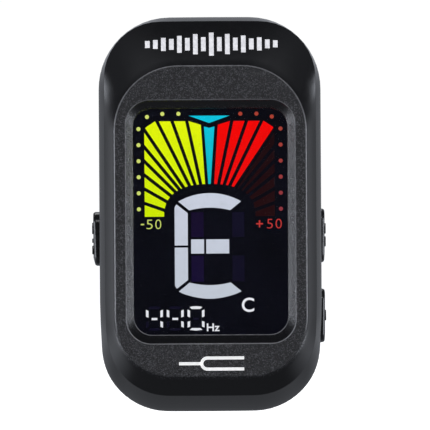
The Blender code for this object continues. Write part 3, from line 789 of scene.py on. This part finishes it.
def inner_crossing(origin, along):
    """Where a line leaves the rounded space inside the fan."""
    half_width, half_height, middle, power = FAN_INNER
    near, far = 0.0, 20.0
    for _ in range(40):
        reach = (near + far) / 2
        x, z = origin + along * reach - (0, middle)
        inside = (abs(x) / half_width) ** power + (abs(max(z, 0)) / half_height) ** power < 1
        near, far = (reach, far) if inside else (near, reach)
    return origin + along * near


def fan_segments():
    """The ten segments of the right-hand half, from the pointer outwards."""
    path = np.array(FAN_PATH)
    sides = []
    for edge in FAN_EDGES:
        along = np.array(edge) - FAN_CENTRE
        along /= np.linalg.norm(along)
        across = np.array([along[1], -along[0]]) * FAN_GAP / 2
        sides.append([(FAN_CENTRE + across * sign, along) for sign in (-1, 1)])
    segments = []
    for number, start in enumerate(sides):
        first, first_stretch = crossing(*start[1], path)
        if number + 1 < len(sides):
            last, last_stretch = crossing(*sides[number + 1][0], path)
            closing = inner_crossing(*sides[number + 1][0])
        else:
            last, last_stretch = path[-1], len(path) - 2
            closing = np.array([6.46, FAN_BOTTOM])
        corners = [path[k] for k in range(first_stretch + 1, last_stretch + 1)]
        segments.append(np.array([inner_crossing(*start[1]), first, *corners, last, closing]))
    return segments


def mirrored(shapes):
    return [shape * (-1, 1) for shape in shapes]


def dots():
    """The round marks on the right-hand side."""
    places = [(4.47, 14.18), (6.75, 14.18), (8.92, 13.76)] + [(10.14, 12.05 - 2.27 * k) for k in range(6)]
    return [circle(place, DOT_RADIUS, 24) for place in places]


def letter_segments():
    """The big note letter, made of bars with round outer corners."""
    middle, shift = -4.53, 0.08
    cap_outer = arc((0, 3.01 - 9.0), 9.0, 90 + 29.6, 90 - 29.6, 16)
    cap_inner = arc((0, 0.95 - 11.5), 11.5, 90 - 14.6, 90 + 14.6, 12)
    cap = np.concatenate([cap_outer, cap_inner])
    post = [(-4.98, -4.38), (-3.12, -4.38), (-3.12, 0.2), (-4.7, 1.43)]
    post = np.array(post + [tuple(p) for p in arc((-4.4, 0.85), 0.58, 135, 180, 4)])
    halves = [cap, post]
    flipped = [np.stack([s[:, 0], 2 * middle - s[:, 1]], 1) for s in halves]
    flipped[0][:, 1] += 0.13 * smooth(-flipped[0][:, 1], 11.0, 12.0)
    bars = [rectangle((-2.66, -5.54), (-0.83, -3.53)), rectangle((-0.52, -5.54), (2.73, -3.53))]
    return [shape + (shift, 0) for shape in halves + flipped + bars]


def unlit_letter_segments():
    """Bars of the note letter that aren't lit: two columns beside the middle."""
    columns = ((-2.55, -0.8), (3.25, 4.95))
    spans = ((-9.5, -5.85), (-3.2, 0.3))
    return [rectangle((x0, z0), (x1, z1)) for x0, x1 in columns for z0, z1 in spans]


def plus_sign(centre, reach, half_stroke):
    x, z = centre
    arms = [block((x, z + sign * 0.3), half_stroke, 0.2) for sign in (-1, 1)]
    return [block(centre, reach, half_stroke), *arms]


DIGIT_BARS = {
    "a": [(-0.9, -13.24), (-0.6, -13.14), (0, -13.1), (0.6, -13.14), (0.9, -13.24)]
    + [(0.6, -13.52), (-0.6, -13.52)],
    "b": [(0.84, -13.75), (1.2, -13.6), (1.2, -14.62), (0.84, -14.74)],
    "c": [(0.84, -15.28), (1.2, -15.4), (1.2, -16.25), (0.84, -16.1)],
    "d": [(-0.9, -16.6), (0, -16.7), (0.9, -16.6), (0.6, -16.32), (-0.6, -16.32)],
    "e": [(-1.2, -15.4), (-0.84, -15.28), (-0.84, -16.1), (-1.2, -16.25)],
    "f": [(-1.2, -13.6), (-0.84, -13.75), (-0.84, -14.74), (-1.2, -14.62)],
    "g": [(-0.4, -14.8), (0.4, -14.8), (0.4, -15.12), (-0.4, -15.12)],
}
LIT_BARS = {"4": "bcfg", "0": "abcdef"}


def digits(text, lit):
    """Seven-bar figures; lit gives the bars that show the text, otherwise those left dark."""
    shapes = []
    for place, figure in enumerate(text):
        for bar, points in DIGIT_BARS.items():
            if (bar in LIT_BARS[figure]) == lit:
                shapes.append(np.array(points) * (1, 0.96) + DIGIT_PLACE + (DIGIT_PITCH * place, 0))
    return shapes


def letters(name, text, low, high, weight=0.0):
    """A short reading as solid letters, stretched to fill a rectangle."""
    curve = bpy.data.curves.new(name + "_text", "FONT")
    curve.body = text
    curve.extrude = 0.1
    curve.offset = weight
    curve.resolution_u = 6
    source = add_object(name + "_text", curve)
    mesh = evaluated_mesh(source)
    points = np.array([v.co for v in mesh.vertices])
    share = (points - points.min(0)) / (points.max(0) - points.min(0))
    front, back = SEGMENT_DEPTHS
    ends = zip((low[0], back, low[1]), (high[0], front, high[1]), (0, 2, 1))
    placed = np.stack([between(start, end, share[:, column]) for start, end, column in ends], 1)
    faces = [list(face.vertices) for face in mesh.polygons]
    bpy.data.objects.remove(source, do_unlink=True)
    return mesh_object(name, placed, faces, 0.002)


def make_window(material):
    pane = plate("display_window_pane", centred(12.1, 17.2, 3.0), 1.3, 2.1, "Y", 0.12)
    finish_piece(pane, material, "head", ["display_window"])


# Each lit or unlit kind of segment: its colour low down and high up, and those two heights
LIT_COLOURS = {
    "lit_yellow": ((210, 238, 5), (232, 250, 12), 0, 13),
    "lit_red": ((236, 12, 10), (246, 6, 4), 4, 13),
    "lit_cyan": ((24, 186, 200), (12, 200, 226), 5, 13),
    "lit_white": ((196, 204, 216), (206, 212, 228), -12, 3),
    "lit_bright_white": ((228, 230, 236), (238, 240, 246), -17, -12),
    "lit_dots_yellow": ((206, 222, 112), (214, 226, 116), 0, 14),
    "lit_dots_red": ((140, 54, 62), (172, 66, 50), 1, 14),
    "lit_text_yellow": ((190, 208, 100), (204, 218, 112), -3, -1),
    "lit_text_red": ((176, 52, 52), (200, 58, 54), -3, -1),
    "unlit_red": ((35, 12, 15), (28, 11, 15), 0, 12),
    "unlit_violet": ((23, 15, 50), (22, 13, 42), -10, 0),
    "unlit_blue": ((17, 15, 34), (18, 16, 36), -10, 0),
}


def make_display():
    panel = plate("display_panel", centred(11.6, 16.7, 1.5), 2.25, 3.65, "Y", 0.1)
    finish_piece(panel, panel_finish(), "head", ["lcd_cell"])
    lit = {name: lit_finish(name, *values) for name, values in LIT_COLOURS.items()}
    segments = fan_segments()
    pointer = [
        np.array([(-2.88, 13.97), (2.88, 13.97), (0.0, 12.93)]),
        np.array([(-0.74, 12.43), (0.0, 12.24), (0.74, 12.43), (0.17, 4.3), (-0.17, 4.3)]),
    ]
    middle, fan = (0, 0), (0.09, 0)
    shapes = (
        ("meter_flat_segments", mirrored(segments), fan, "lit_yellow"),
        ("meter_sharp_segments_lit", segments[:4], fan, "lit_red"),
        ("meter_sharp_segments_unlit", segments[4:], fan, "unlit_red"),
        ("meter_pointer", pointer, (0.07, 0), "lit_cyan"),
        ("meter_flat_dots", mirrored(dots()), (0.2, 0.07), "lit_dots_yellow"),
        ("meter_sharp_dots", dots(), (0.02, 0.04), "lit_dots_red"),
        ("note_letter", letter_segments(), middle, "lit_white"),
        ("note_letter_unlit_left", unlit_letter_segments()[:2], middle, "unlit_violet"),
        ("note_letter_unlit_right", unlit_letter_segments()[2:], middle, "unlit_blue"),
        ("pitch_digits", digits("440", True), middle, "lit_bright_white"),
        ("pitch_digits_unlit", digits("440", False), middle, "unlit_blue"),
        ("scale_minus", [block((-9.44, -1.38), 0.24, 0.1)], middle, "lit_text_yellow"),
        ("scale_plus", plus_sign((7.12, -1.37), 0.48, 0.1), middle, "lit_text_red"),
    )
    for name, parts, shift, material in shapes:
        segment = slabs(name, [part + shift + DISPLAY_SHIFT for part in parts])
        finish_piece(segment, lit[material], "head", weighted=False)
    readings = (
        ("scale_flat_five", "5", (-9.07, -2.04), (-8.2, -0.7), -0.012, "lit_text_yellow"),
        ("scale_flat_zero", "0", (-7.82, -2.04), (-6.98, -0.68), -0.012, "lit_text_yellow"),
        ("scale_sharp_five", "5", (7.98, -2.04), (8.8, -0.7), -0.012, "lit_text_red"),
        ("scale_sharp_zero", "0", (9.2, -2.04), (10.08, -0.68), -0.012, "lit_text_red"),
        ("pitch_unit", "Hz", (-0.62, -16.53), (1.2, -15.43), 0.018, "lit_bright_white"),
        ("mode_letter", "C", (4.36, -13.84), (6.1, -11.82), 0.012, "lit_bright_white"),
    )
    for name, text, low, high, weight, material in readings:
        reading = letters(name, text, low, high, weight)
        finish_piece(reading, lit[material], "head", weighted=False)


# Marks printed on the case


BAR_COUNT = 17
BAR_PITCH = 1.13
BAR_HALF_WIDTH = 0.33
BARS_MIDDLE = (0.25, 24.05)
FORK_Z = -21.05
FORK_ENDS = (-4.6, 4.6)


def drape(name, grids, shell, above=0.012, below=0.05):
    """Thin printed shapes laid on the shell's front. Each is a grid of (x, z) rows."""
    tree = BVHTree.FromObject(shell, bpy.context.evaluated_depsgraph_get())
    points, faces = [], []
    for grid in grids:
        places = grid.reshape(-1, 2)
        count, base = len(places), len(points)
        starts = to_frame([(x, -5.0, z) for x, z in places])
        hits = [tree.ray_cast(Vector(start), Vector((0, 1, 0)))[0] for start in starts]
        surface = [(hit.y - FACE_Y) / MM for hit in hits]
        for offset in (-above, below):
            points += [(x, depth + offset, z) for (x, z), depth in zip(places, surface)]
        numbers = base + np.arange(count).reshape(grid.shape[:2])
        corners = (numbers[:-1, :-1], numbers[:-1, 1:], numbers[1:, 1:], numbers[1:, :-1])
        cells = np.stack(corners, 2).reshape(-1, 4)
        faces += cells.tolist() + (cells[:, ::-1] + count).tolist()
        rim = np.concatenate([numbers[0], numbers[1:, -1], numbers[-1, -2::-1], numbers[-2:0:-1, 0]])
        faces += wall(rim.tolist(), (rim + count).tolist())
    return mesh_object(name, points, faces)


def strip_grid(low, high, columns=4, rows=8):
    """A rectangle as a grid."""
    xs, zs = np.linspace(low[0], high[0], columns), np.linspace(low[1], high[1], rows)
    return np.stack(np.meshgrid(xs, zs), 2)


def band_grid(centre, inner, outer, start, end, steps=24):
    """A piece of a ring as a grid."""
    return np.stack([arc(centre, radius, start, end, steps) for radius in np.linspace(inner, outer, 3)])


def sound_bars():
    """A row of upright bars like a sound's level, taller towards the middle."""
    grids = []
    last = BAR_COUNT - 1
    for number in range(BAR_COUNT):
        offset = number - last / 2
        uneven = 0.74 + 0.26 * math.cos(math.pi * number)
        tall = 0.5 + 1.15 * (1 - abs(offset) / (last / 2)) ** 0.7 * uneven
        x = BARS_MIDDLE[0] + offset * BAR_PITCH
        low, high = BARS_MIDDLE[1] - tall, BARS_MIDDLE[1] + tall
        grids.append(strip_grid((x - BAR_HALF_WIDTH, low), (x + BAR_HALF_WIDTH, high)))
    return grids


def tuning_fork():
    """A tuning fork on its side."""
    z, prong, thick = FORK_Z, 0.78, 0.22
    left, right = FORK_ENDS
    grids = [strip_grid((left, z - thick), (-1.35, z + thick), 8, 3)]
    grids.append(band_grid((-0.6, z), prong - thick, prong + thick, 90, 270))
    for middle in (z - prong, z + prong):
        grids.append(strip_grid((-0.6, middle - thick), (right, middle + thick), 12, 3))
    return grids


# Buttons


def button_marks(name, z):
    """Raised signs on a button's face, as (depth, z) shapes."""
    y = BUTTON_DEPTH
    if name == "power":
        middle = (y, z + 1.3)
        ring = np.concatenate([arc(middle, 0.85, -50, 230, 28), arc(middle, 0.55, 230, -50, 28)])
        signs = [block((y, z + 1.8), 0.14, 0.5), circle((y, z - 0.25), 0.32, 20)]
        return [ring, *signs, block((y, z - 1.575), 0.6, 0.625)]
    if name == "mode":
        bars = [block((y - 0.625 + 0.5 * k, z + 1.0), 0.125, 0.75) for k in range(4)]
        return bars + [circle((y, z - 0.85), 0.75, 28)]
    return [np.array([(y - 0.85, z - 0.7), (y + 0.85, z - 0.7), (y, z + 0.85)])]


def make_button(name, side, z, top, material):
    """A cap with a round front edge, its raised signs, and the flange that keeps it in the case."""
    rings = []
    low_end = 0.22 if name == "power" else 0.06
    rounding = ((0.0, 0.44), (0.03, 0.29), (0.11, 0.15), (0.25, 0.05), (0.44, 0.0))
    for shrink, x in [(0.0, 13.95)] + [(shrink, top - below) for shrink, below in rounding]:
        sizes = (BUTTON_HALF_WIDTH - shrink, BUTTON_HALF_LENGTH - 0.7 * shrink)
        shape = stadium((BUTTON_DEPTH, z), *sizes, 20)
        fall = low_end * smooth(z - shape[:, 1], 0.8, BUTTON_HALF_LENGTH) if x > 15 else 0.0
        rings.append(lift(shape, side * (x - fall), "X"))
    inner = stadium((BUTTON_DEPTH, z), 0.6, 2.7, 20)
    rings.append(lift(inner, side * top, "X"))
    cap = loft(f"{name}_button_cap", rings)
    flange_shape = stadium((BUTTON_DEPTH, z), BUTTON_HALF_WIDTH + 0.8, BUTTON_HALF_LENGTH + 0.8, 20)
    parts = [plate("flange", flange_shape, side * 13.85, side * 14.25, "X")]
    for shape in button_marks(name, z):
        parts.append(plate("mark", shape, side * (top - 0.3), side * (top + 0.17), "X", 0.06, 2))
    combine(cap, "UNION", parts)
    finish_piece(cap, material, name, [f"{name}_button"], sharp=45)


# Fasteners and hinge


def cross_recess(place, start, end, half_width, half_height, axis="Y"):
    """Two crossed bars as cutters; the second is the first one turned."""
    sizes = ((half_width, half_height), (half_height, half_width))
    return [plate("recess", block(place, *size), start, end, axis) for size in sizes]


def make_case_screws(material):
    for number, place in enumerate(screw_places(), start=1):
        profile = [(0.4, 3.9), (0.8, 4.6), (0.8, 11.5), (1.45, 11.5), (1.6, 11.6)]
        profile += dome(1.6, 11.75, 0.45, (0, 20, 40, 55, 68, 80))
        screw = turned(f"case_screw_{number}_detail", profile, place, steps=48)
        combine(screw, "DIFFERENCE", cross_recess(place, 11.75, 14.75, 0.85, 0.19))
        finish_piece(screw, material, "head", [f"case_screw_{number}"])


def knurled(radius, cut, steps=192):
    """A circle with shallow grooves."""
    turns = np.linspace(0, 2 * math.pi, steps, endpoint=False)
    radii = radius - cut * (0.5 + 0.5 * np.cos(KNURL_COUNT * turns)) ** 6
    x, z = HUB_CENTRE
    return np.stack([x + radii * np.cos(turns), z + radii * np.sin(turns)], 1)


def ear_outline(centre, radius, foot_depth, half_foot):
    """A rounded ear that stands on a foot: an arc about its pin, then straight sides."""
    z = centre[1]
    head = arc(centre, radius, -90, 90, 32)
    return np.concatenate([head, [(foot_depth, z + half_foot), (foot_depth, z - half_foot)]])


def make_hub(material):
    front, back = HUB_DEPTHS
    post = [(3.0, 0, 10.1), (3.0, 0, front), (7.1, 0, front)]
    rim = [(7.4, 0.1, front + 0.12), (7.5, 0.16, front + 0.3)]
    rim += [(7.5, 0.16, back - 0.45), (7.38, 0.1, back - 0.22)]
    top = [(7.0, 0, back), (6.3, 0, back), (6.15, 0, back - 0.2), (5.9, 0, back - 0.2)]
    rings = [lift(knurled(radius, cut), depth, "Y") for radius, cut, depth in post + rim + top]
    hub = loft("swivel_hub_detail", rings)
    shape = ear_outline(TILT_AXIS, 2.9, 13.7, 2.95)
    ears = [plate("ear", shape, side * 5.0, side * 7.0, "X", 0.35) for side in (-1, 1)]
    web = plate("web", rectangle((-5.2, 13.6), (5.2, 14.12)), 10.6, 13.4, "Z")
    combine(hub, "UNION", ears + [web])
    bores = [bore(TILT_BORE, -9.0, 9.0, TILT_AXIS), bore(TILT_BORE, 9.0, 13.4, HUB_CENTRE, "Y")]
    combine(hub, "DIFFERENCE", bores)
    finish_piece(hub, material, "pivot", ["swivel_hub"], sharp=40)


def make_tilt_hardware(steel, nylon):
    profile = [(0.7, -8.3), (1.0, -8.0), (1.0, 7.1), (1.8, 7.1), (1.9, 7.2)]
    profile += dome(1.9, 7.35, 0.75, (0, 20, 40, 58, 74))
    screw = turned("tilt_screw_detail", profile, TILT_AXIS, "X", 64)
    combine(screw, "DIFFERENCE", cross_recess(TILT_AXIS, 7.65, 9.0, 0.22, 1.2, "X"))
    finish_piece(screw, steel, "pivot", ["tilt_screw"])
    nut = plate("tilt_nut_detail", circle(TILT_AXIS, 2.1, 6), -8.0, -7.1, "X", 0.12, 2)
    combine(nut, "DIFFERENCE", [bore(TILT_BORE, -9.0, -6.5, TILT_AXIS)])
    finish_piece(nut, steel, "pivot", ["tilt_nut"])
    profile = ((TILT_BORE, 4.5), (2.5, 4.5), (2.6, 4.6), (2.6, 4.8), (2.5, 4.9), (TILT_BORE, 4.9))
    for name, side in (("tilt_washer_left", -1), ("tilt_washer_right", 1)):
        ring = ring_solid(f"{name}_detail", [(radius, side * x) for radius, x in profile], TILT_AXIS)
        finish_piece(ring, nylon, "pivot", [name])


# Clip


def ribbed_pad(name, front, back, grip, material, body, node):
    """A rubber pad with cross grooves in its gripping face. grip is that face's depth."""
    low, high = PAD_ENDS
    shape = outline(PAD_HALF_WIDTH, low, high, 1.5, 1.5)
    pad = plate(name, shape, front, back, "Y", 0.35)
    direction = 1 if grip == back else -1
    outside, inside = grip + 0.3 * direction, grip - 0.45 * direction
    cutters = []
    for z in np.linspace(low + 1.7, high - 1.7, GROOVE_COUNT):
        groove = np.array([(outside, z - 0.42), (outside, z + 0.42), (inside, z)])
        cutters.append(plate("groove", groove, -JAW_HALF_WIDTH, JAW_HALF_WIDTH, "X"))
    combine(pad, "DIFFERENCE", cutters)
    finish_piece(pad, material, body, [node], sharp=40)


def make_fixed_jaw(material):
    arm_shape = outline(JAW_HALF_WIDTH, JAW_FOOT, 7.0, 3.0, 2.5)
    jaw = plate("fixed_jaw_detail", arm_shape, 15.4, 17.8, "Y", 0.5)
    parts = [turned("knuckle", [(2.4, -4.35), (2.7, -4.1), (2.7, 4.1), (2.4, 4.35)], TILT_AXIS, "X", 64)]
    neck = np.array([(-4.35, 12.0), (-4.35, 7.6), (-5.6, 6.2), (5.6, 6.2), (4.35, 7.6), (4.35, 12.0)])
    parts.append(plate("neck", neck, 15.5, 17.7, "Y", 0.3))
    z = JAW_PIN[1]
    for side in (-1, 1):
        foot = [(17.4, z + 3.4), (17.4, z - CHEEK_RADIUS)]
        cheek = np.concatenate([arc(JAW_PIN, CHEEK_RADIUS, -90, 82, 32), foot])
        parts.append(plate("cheek", cheek, side * 6.2, side * 7.95, "X", 0.3))
    combine(jaw, "UNION", parts)
    pocket = plate("pocket", outline(4.6, -20.0, -8.5, 1.2, 1.2), 14.0, 16.0, "Y")
    slots = [plate("slot", stadium((3.2 * k, 2.4), 0.75, 2.6), 14.0, 15.95) for k in (-1, 0, 1)]
    bores = [bore(TILT_BORE, -6.0, 6.0, TILT_AXIS), bore(PIN_BORE, -9.0, 9.0, JAW_PIN)]
    combine(jaw, "DIFFERENCE", [pocket, *slots, *bores])
    finish_piece(jaw, material, "clip", ["fixed_jaw"], sharp=40)


def lever_outline(inside, outside, length):
    """Side view of the moving jaw: a bent strip between two distances from the pin, with a round end."""
    y = JAW_PIN[0]
    bend = np.array([1, -math.tan(LEVER_ANGLE / 2)])
    inner, outer = (np.array(JAW_PIN) + bend * reach for reach in (inside, outside))
    radius = (outside - inside) / 2
    turn = -math.degrees(LEVER_ANGLE)
    tip = arc(inner + LEVER_ALONG * length + LEVER_AWAY * radius, radius, turn, turn + 180, 12)
    return np.array([(y + inside, JAW_FOOT), (y + outside, JAW_FOOT), outer, *tip, inner])


def make_moving_jaw(material):
    inside, outside = JAW_STRIP
    shape = lever_outline(inside, outside, LEVER_LENGTH)
    jaw = plate("moving_jaw_detail", shape, -JAW_HALF_WIDTH, JAW_HALF_WIDTH, "X", 0.5)
    y, z = JAW_PIN
    root = [(y + 4.1, z - 2.7), (y + 5.6, z + 0.4)]
    cheek = np.concatenate([arc(JAW_PIN, CHEEK_RADIUS, 45, 270, 40), root])
    parts = [plate("cheek", cheek, side * 4.2, side * 6.0, "X", 0.25) for side in (-1, 1)]
    for number in range(RIB_COUNT):
        reach = RIB_START + RIB_PITCH * number
        middle = np.array(JAW_PIN) + LEVER_AWAY * outside + LEVER_ALONG * reach
        parts.append(turned("rib", [(0.3, -6.4), (0.42, -6.2), (0.42, 6.2), (0.3, 6.4)], middle, "X", 20))
    combine(jaw, "UNION", parts)
    pocket = plate("pocket", outline(5.2, -20.5, -9.5, 1.5, 1.5), 26.05, 28.0, "Y")
    combine(jaw, "DIFFERENCE", [bore(PIN_BORE, -7.0, 7.0, JAW_PIN), pocket])
    finish_piece(jaw, material, "jaw", ["moving_jaw"], sharp=40)


def make_jaw_pin(material):
    profile = [(0.95, -8.9), (1.2, -8.75), (1.2, 8.2), (1.9, 8.2), (2.0, 8.3)]
    profile += dome(2.0, 8.45, 0.55, (0, 20, 40, 60, 76))
    pin = turned("jaw_pin_detail", profile, JAW_PIN, "X", 64)
    finish_piece(pin, material, "clip", ["jaw_pin"])
    profile = [(PIN_BORE, -8.6), (2.2, -8.6), (2.2, -8.2), (PIN_BORE, -8.2)]
    ring = ring_solid("pin_retainer_detail", profile, JAW_PIN)
    y, z = JAW_PIN
    mouth = plate("mouth", rectangle((y - 0.8, z - 3), (y + 0.8, z)), -9.0, -8.0, "X")
    holes = [bore(0.28, -9.0, -8.0, arc(JAW_PIN, 1.75, turn, turn, 0)[0], steps=20) for turn in (60, 120)]
    combine(ring, "DIFFERENCE", [mouth, *holes])
    finish_piece(ring, material, "clip", ["pin_retainer"])


def make_spring(material):
    """A front leg, just over four turns about the pin, and a leg along the lever."""
    y, z = JAW_PIN
    half_width = SPRING_HALF_WIDTH
    turning = SPRING_TURNS * 360 + 90 + math.degrees(LEVER_ANGLE)
    loops = arc(JAW_PIN, SPRING_RADIUS, 180, 180 + turning, 149)
    coil = np.column_stack([np.linspace(-half_width, half_width, 150), loops])
    reaches = np.linspace(0.25, SPRING_LEG, 12)
    front = [(-half_width, y - SPRING_RADIUS, z + reach) for reach in reaches[::-1]]
    back = coil[-1] + np.outer(reaches, (0, *LEVER_ALONG))
    spring = tube("jaw_spring_detail", np.concatenate([front, coil, back]), WIRE_RADIUS)
    finish_piece(spring, material, None, ["jaw_spring"], weighted=False)
    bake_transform(spring)


# Carried-over nodes, stage, light


def paint_inner_nodes(steel, brass, nylon):
    board = board_finish()
    chip = plain_finish("chip_plastic", (0.012, 0.012, 0.013), (0.03, 0.03, 0.032), 0.5, 3000)
    ceramic = plain_finish("sensor_ceramic", (0.62, 0.58, 0.48), (0.8, 0.76, 0.66), 0.45, 2500)
    diffuser = plain_finish("diffuser_plastic", (0.7, 0.7, 0.68), (0.82, 0.82, 0.8), 0.3, 1200)
    zebra = rubber_finish("zebra_rubber", (0.03, 0.03, 0.03), (0.2, 0.2, 0.2))
    groups = (
        (board, ("main_board",)),
        (chip, ("tuner_chip", "battery_holder", "power_switch", "mode_switch", "pitch_switch")),
        (nylon, ("lcd_frame", "power_plunger", "mode_plunger", "pitch_plunger")),
        (diffuser, ("backlight_panel", "backlight_led_left", "backlight_led_right")),
        (steel, ("crystal", "coin_cell", "wave_washer", "retaining_washer", "swivel_screw")),
        (brass, ("battery_contact_negative", "battery_contact_positive", "piezo_plate", "piezo_contact")),
        (ceramic, ("piezo_ceramic",)),
        (zebra, ("zebra_strip",)),
    )
    for material, names in groups:
        for name in names:
            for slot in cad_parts[name].material_slots:
                slot.material = material


FLOOR_REACH = 30.0
FLOOR_DROP = 0.0045


def make_floor():
    """A wide white floor below the head. The dark case reflects the studio, not the floor."""
    level = cover_low.z - FLOOR_DROP
    mesh = bpy.data.meshes.new("floor")
    corners = [(x, y, level) for x, y in block((0, 0), FLOOR_REACH, FLOOR_REACH)]
    mesh.from_pydata(corners, [], [[0, 1, 2, 3]])
    floor = add_object("floor", mesh)
    white = plain_finish("white_floor", (0.78, 0.78, 0.78), (0.82, 0.82, 0.82), 0.9, 60, 0.0)
    shader = white.node_tree.nodes["Principled BSDF"]
    shader.inputs["Emission Color"].default_value = (1, 1, 1, 1)
    shader.inputs["Emission Strength"].default_value = 0.9
    mesh.materials.append(white)
    floor.visible_glossy = False
    floor.visible_diffuse = False
    floor.visible_transmission = False


def make_world():
    """A white backdrop, and the studio that the object reflects.

    The studio is bright to the sides and behind, with a panel beside the object on each side, and dark
    above, below and straight in front.
    """
    world = bpy.data.worlds.new("studio")
    bpy.context.scene.world = world
    world.use_nodes = True
    nodes = Nodes(world.node_tree, "SMOOTHSTEP")
    nodes.tree.nodes.clear()
    split = nodes.node("SeparateXYZ", {"Vector": nodes.node("TexCoord").outputs["Generated"]})
    right, back, up = split.outputs
    across = nodes.node("Math", {0: right}, operation="ABSOLUTE").outputs[0]

    def product(*ranges):
        """Each range is a direction with the ends that ranged takes."""
        return nodes.maths("MULTIPLY", *[nodes.ranged(*ends) for ends in ranges])

    sides = product((up, 0.0, 0.17, 0.6, 0.04), (across, 0.55, 0.96, 0.08, 1.0))
    straight = product((back, 0.1, 0.45, 1.75, 0.0), (up, -0.6, -0.2, 0.52, 1.0))
    turned_back = product((back, 0.5, 0.9, 1.0, 0.0), (right, -0.5, 0.5, 1.05, 0.82))
    sides = nodes.maths("MULTIPLY", sides, turned_back, nodes.maths("ADD", straight, 0.72))
    front_hole = nodes.ranged(back, -0.985, -0.9, 0.02, 1.0)
    sides = nodes.maths("MULTIPLY", nodes.maths("ADD", sides, 0.11), front_hole)
    rear = product((back, 0.45, 0.9, 0.0, 0.43), (up, 0.1, 0.45, 1.0, 1.1), (up, -0.62, -0.3, 0.5, 1.0))
    front_slope = product((back, -0.7, -0.4, 1.0, 0.0), (across, 0.15, 0.6, 1.2, 0.5))
    above = product((up, 0.44, 0.62, 0.34, 0.0), (up, 0.1, 0.3, 0.0, 1.0))
    above = nodes.maths("MULTIPLY", above, front_slope)
    below = product((up, -0.35, -0.75, 0.0, 0.34), (back, 0.0, 0.36, 0.0, 1.0))
    panels = product((back, -0.66, -0.42, 0.0, 1.0), (back, -0.16, 0.02, 1.0, 0.0))
    panel_ends = product((up, -0.45, -0.2, 0.0, 1.0), (up, 0.02, 0.1, 1.0, 0.0))
    panels = nodes.maths("MULTIPLY", panels, panel_ends, nodes.ranged(right, -0.5, 0.5, 6.1, 5.9))
    level = nodes.maths("ADD", sides, rear, above, below, panels)
    studio = nodes.node("Background", {"Color": (0.92, 0.96, 1.05), "Strength": level})
    backdrop = nodes.node("Background", {"Color": (1, 1, 1), "Strength": 1.02})
    seen = nodes.node("LightPath").outputs["Is Camera Ray"]
    choice = nodes.node("MixShader", {"Fac": seen, 1: studio.outputs[0], 2: backdrop.outputs[0]})
    nodes.node("OutputWorld", {"Surface": choice.outputs[0]})


# Each light: its name, its place in metres with z from the head's middle, its size and its power
LIGHTS = (
    ("front_strip", (0.0, -0.56, 0.16), (0.4, 0.05), 0.7),
    ("top_softbox", (-0.1, 0.25, 0.6), (0.5, 0.3), 1.5),
)
LIGHT_AIM = (0, 6, 0)


def softbox(name, place, size, power):
    """A rectangle of light that shines on the middle of the head."""
    target = Vector(to_frame([LIGHT_AIM])[0])
    place = Vector(place) + Vector((0, 0, target.z))
    data = bpy.data.lights.new(name, "AREA")
    data.shape = "RECTANGLE"
    data.size, data.size_y = size
    data.energy = power
    light = add_object(name, data)
    light.location = place
    light.rotation_euler = (target - place).to_track_quat("-Z", "Y").to_euler()
    light.visible_camera = False


VIEW_WIDTH = 61.17
VIEW_SHIFT = (0.68, -0.095)
VIEW_ROLL = 0.35
VIEW_TURN = 0.75
LENS = 400.0
SENSOR = 36.0


def make_camera():
    """Straight on to the front, from far enough away that depth hardly changes the scale."""
    data = bpy.data.cameras.new("camera")
    data.lens, data.sensor_width = LENS, SENSOR
    camera = add_object("camera", data)
    distance = VIEW_WIDTH * LENS / SENSOR
    turn = math.radians(VIEW_TURN)
    offset = np.array([-distance * math.sin(turn), -distance * math.cos(turn), 0])
    camera.location = to_frame([offset + (VIEW_SHIFT[0], WAIST_DEPTHS[1], VIEW_SHIFT[1])])[0]
    camera.rotation_mode = "XYZ"
    camera.rotation_euler = (math.radians(90), math.radians(VIEW_ROLL), -turn)
    data.clip_start, data.clip_end = 0.01, 100.0
    bpy.context.scene.camera = camera


def build():
    case = case_finish()
    clip = clip_finish()
    steel = metal_finish("nickel_steel", (0.42, 0.42, 0.44), (0.62, 0.62, 0.63), 0.28, (1, 0.2, 1))
    brass = metal_finish("sheet_brass", (0.5, 0.33, 0.12), (0.74, 0.53, 0.24), 0.3, (1, 0.3, 1))
    nylon = plain_finish("white_nylon", (0.62, 0.61, 0.58), (0.76, 0.75, 0.72), 0.42)
    button_rubber = rubber_finish("button_rubber", (0.007, 0.007, 0.008), (0.016, 0.016, 0.017), 0.18)
    pad_rubber = rubber_finish("pad_rubber", (0.05, 0.05, 0.053), (0.09, 0.09, 0.094), 0.7)
    front = make_front_cover(case)
    make_rear_cover(case)
    make_battery_door(case)
    arrow = slabs("battery_door_marks", turning_marks(), (HEAD_BACK - 0.1, HEAD_BACK + 0.06))
    finish_piece(arrow, case, "door", weighted=False)
    make_window(lens_finish())
    make_display()
    # The last number is how strongly the print glows: painted light.
    silver = ink_finish("silver_ink", (0.62, 0.62, 0.65), (0.8, 0.8, 0.83), 0.62)
    pale = ink_finish("white_ink", (0.78, 0.78, 0.78), (0.9, 0.9, 0.9), 0.6)
    marks = (("sound_bars_mark", sound_bars(), silver), ("tuning_fork_mark", tuning_fork(), pale))
    for name, grids, ink in marks:
        finish_piece(drape(name, grids, front), ink, "head", weighted=False)
    for name, side, z, top in BUTTONS:
        make_button(name, side, z, top, button_rubber)
    make_case_screws(steel)
    make_hub(clip)
    make_tilt_hardware(steel, nylon)
    make_fixed_jaw(clip)
    make_moving_jaw(clip)
    ribbed_pad("fixed_pad_ribbed", 17.9, 19.9, 19.9, pad_rubber, "clip", "fixed_pad")
    ribbed_pad("moving_pad_ribbed", 22.3, 24.2, 22.3, pad_rubber, "jaw", "moving_pad")
    make_jaw_pin(steel)
    make_spring(steel)
    paint_inner_nodes(steel, brass, nylon)


build()
make_floor()
make_world()
for light in LIGHTS:
    softbox(*light)
make_camera()
bpy.context.scene.view_settings.view_transform = "Standard"
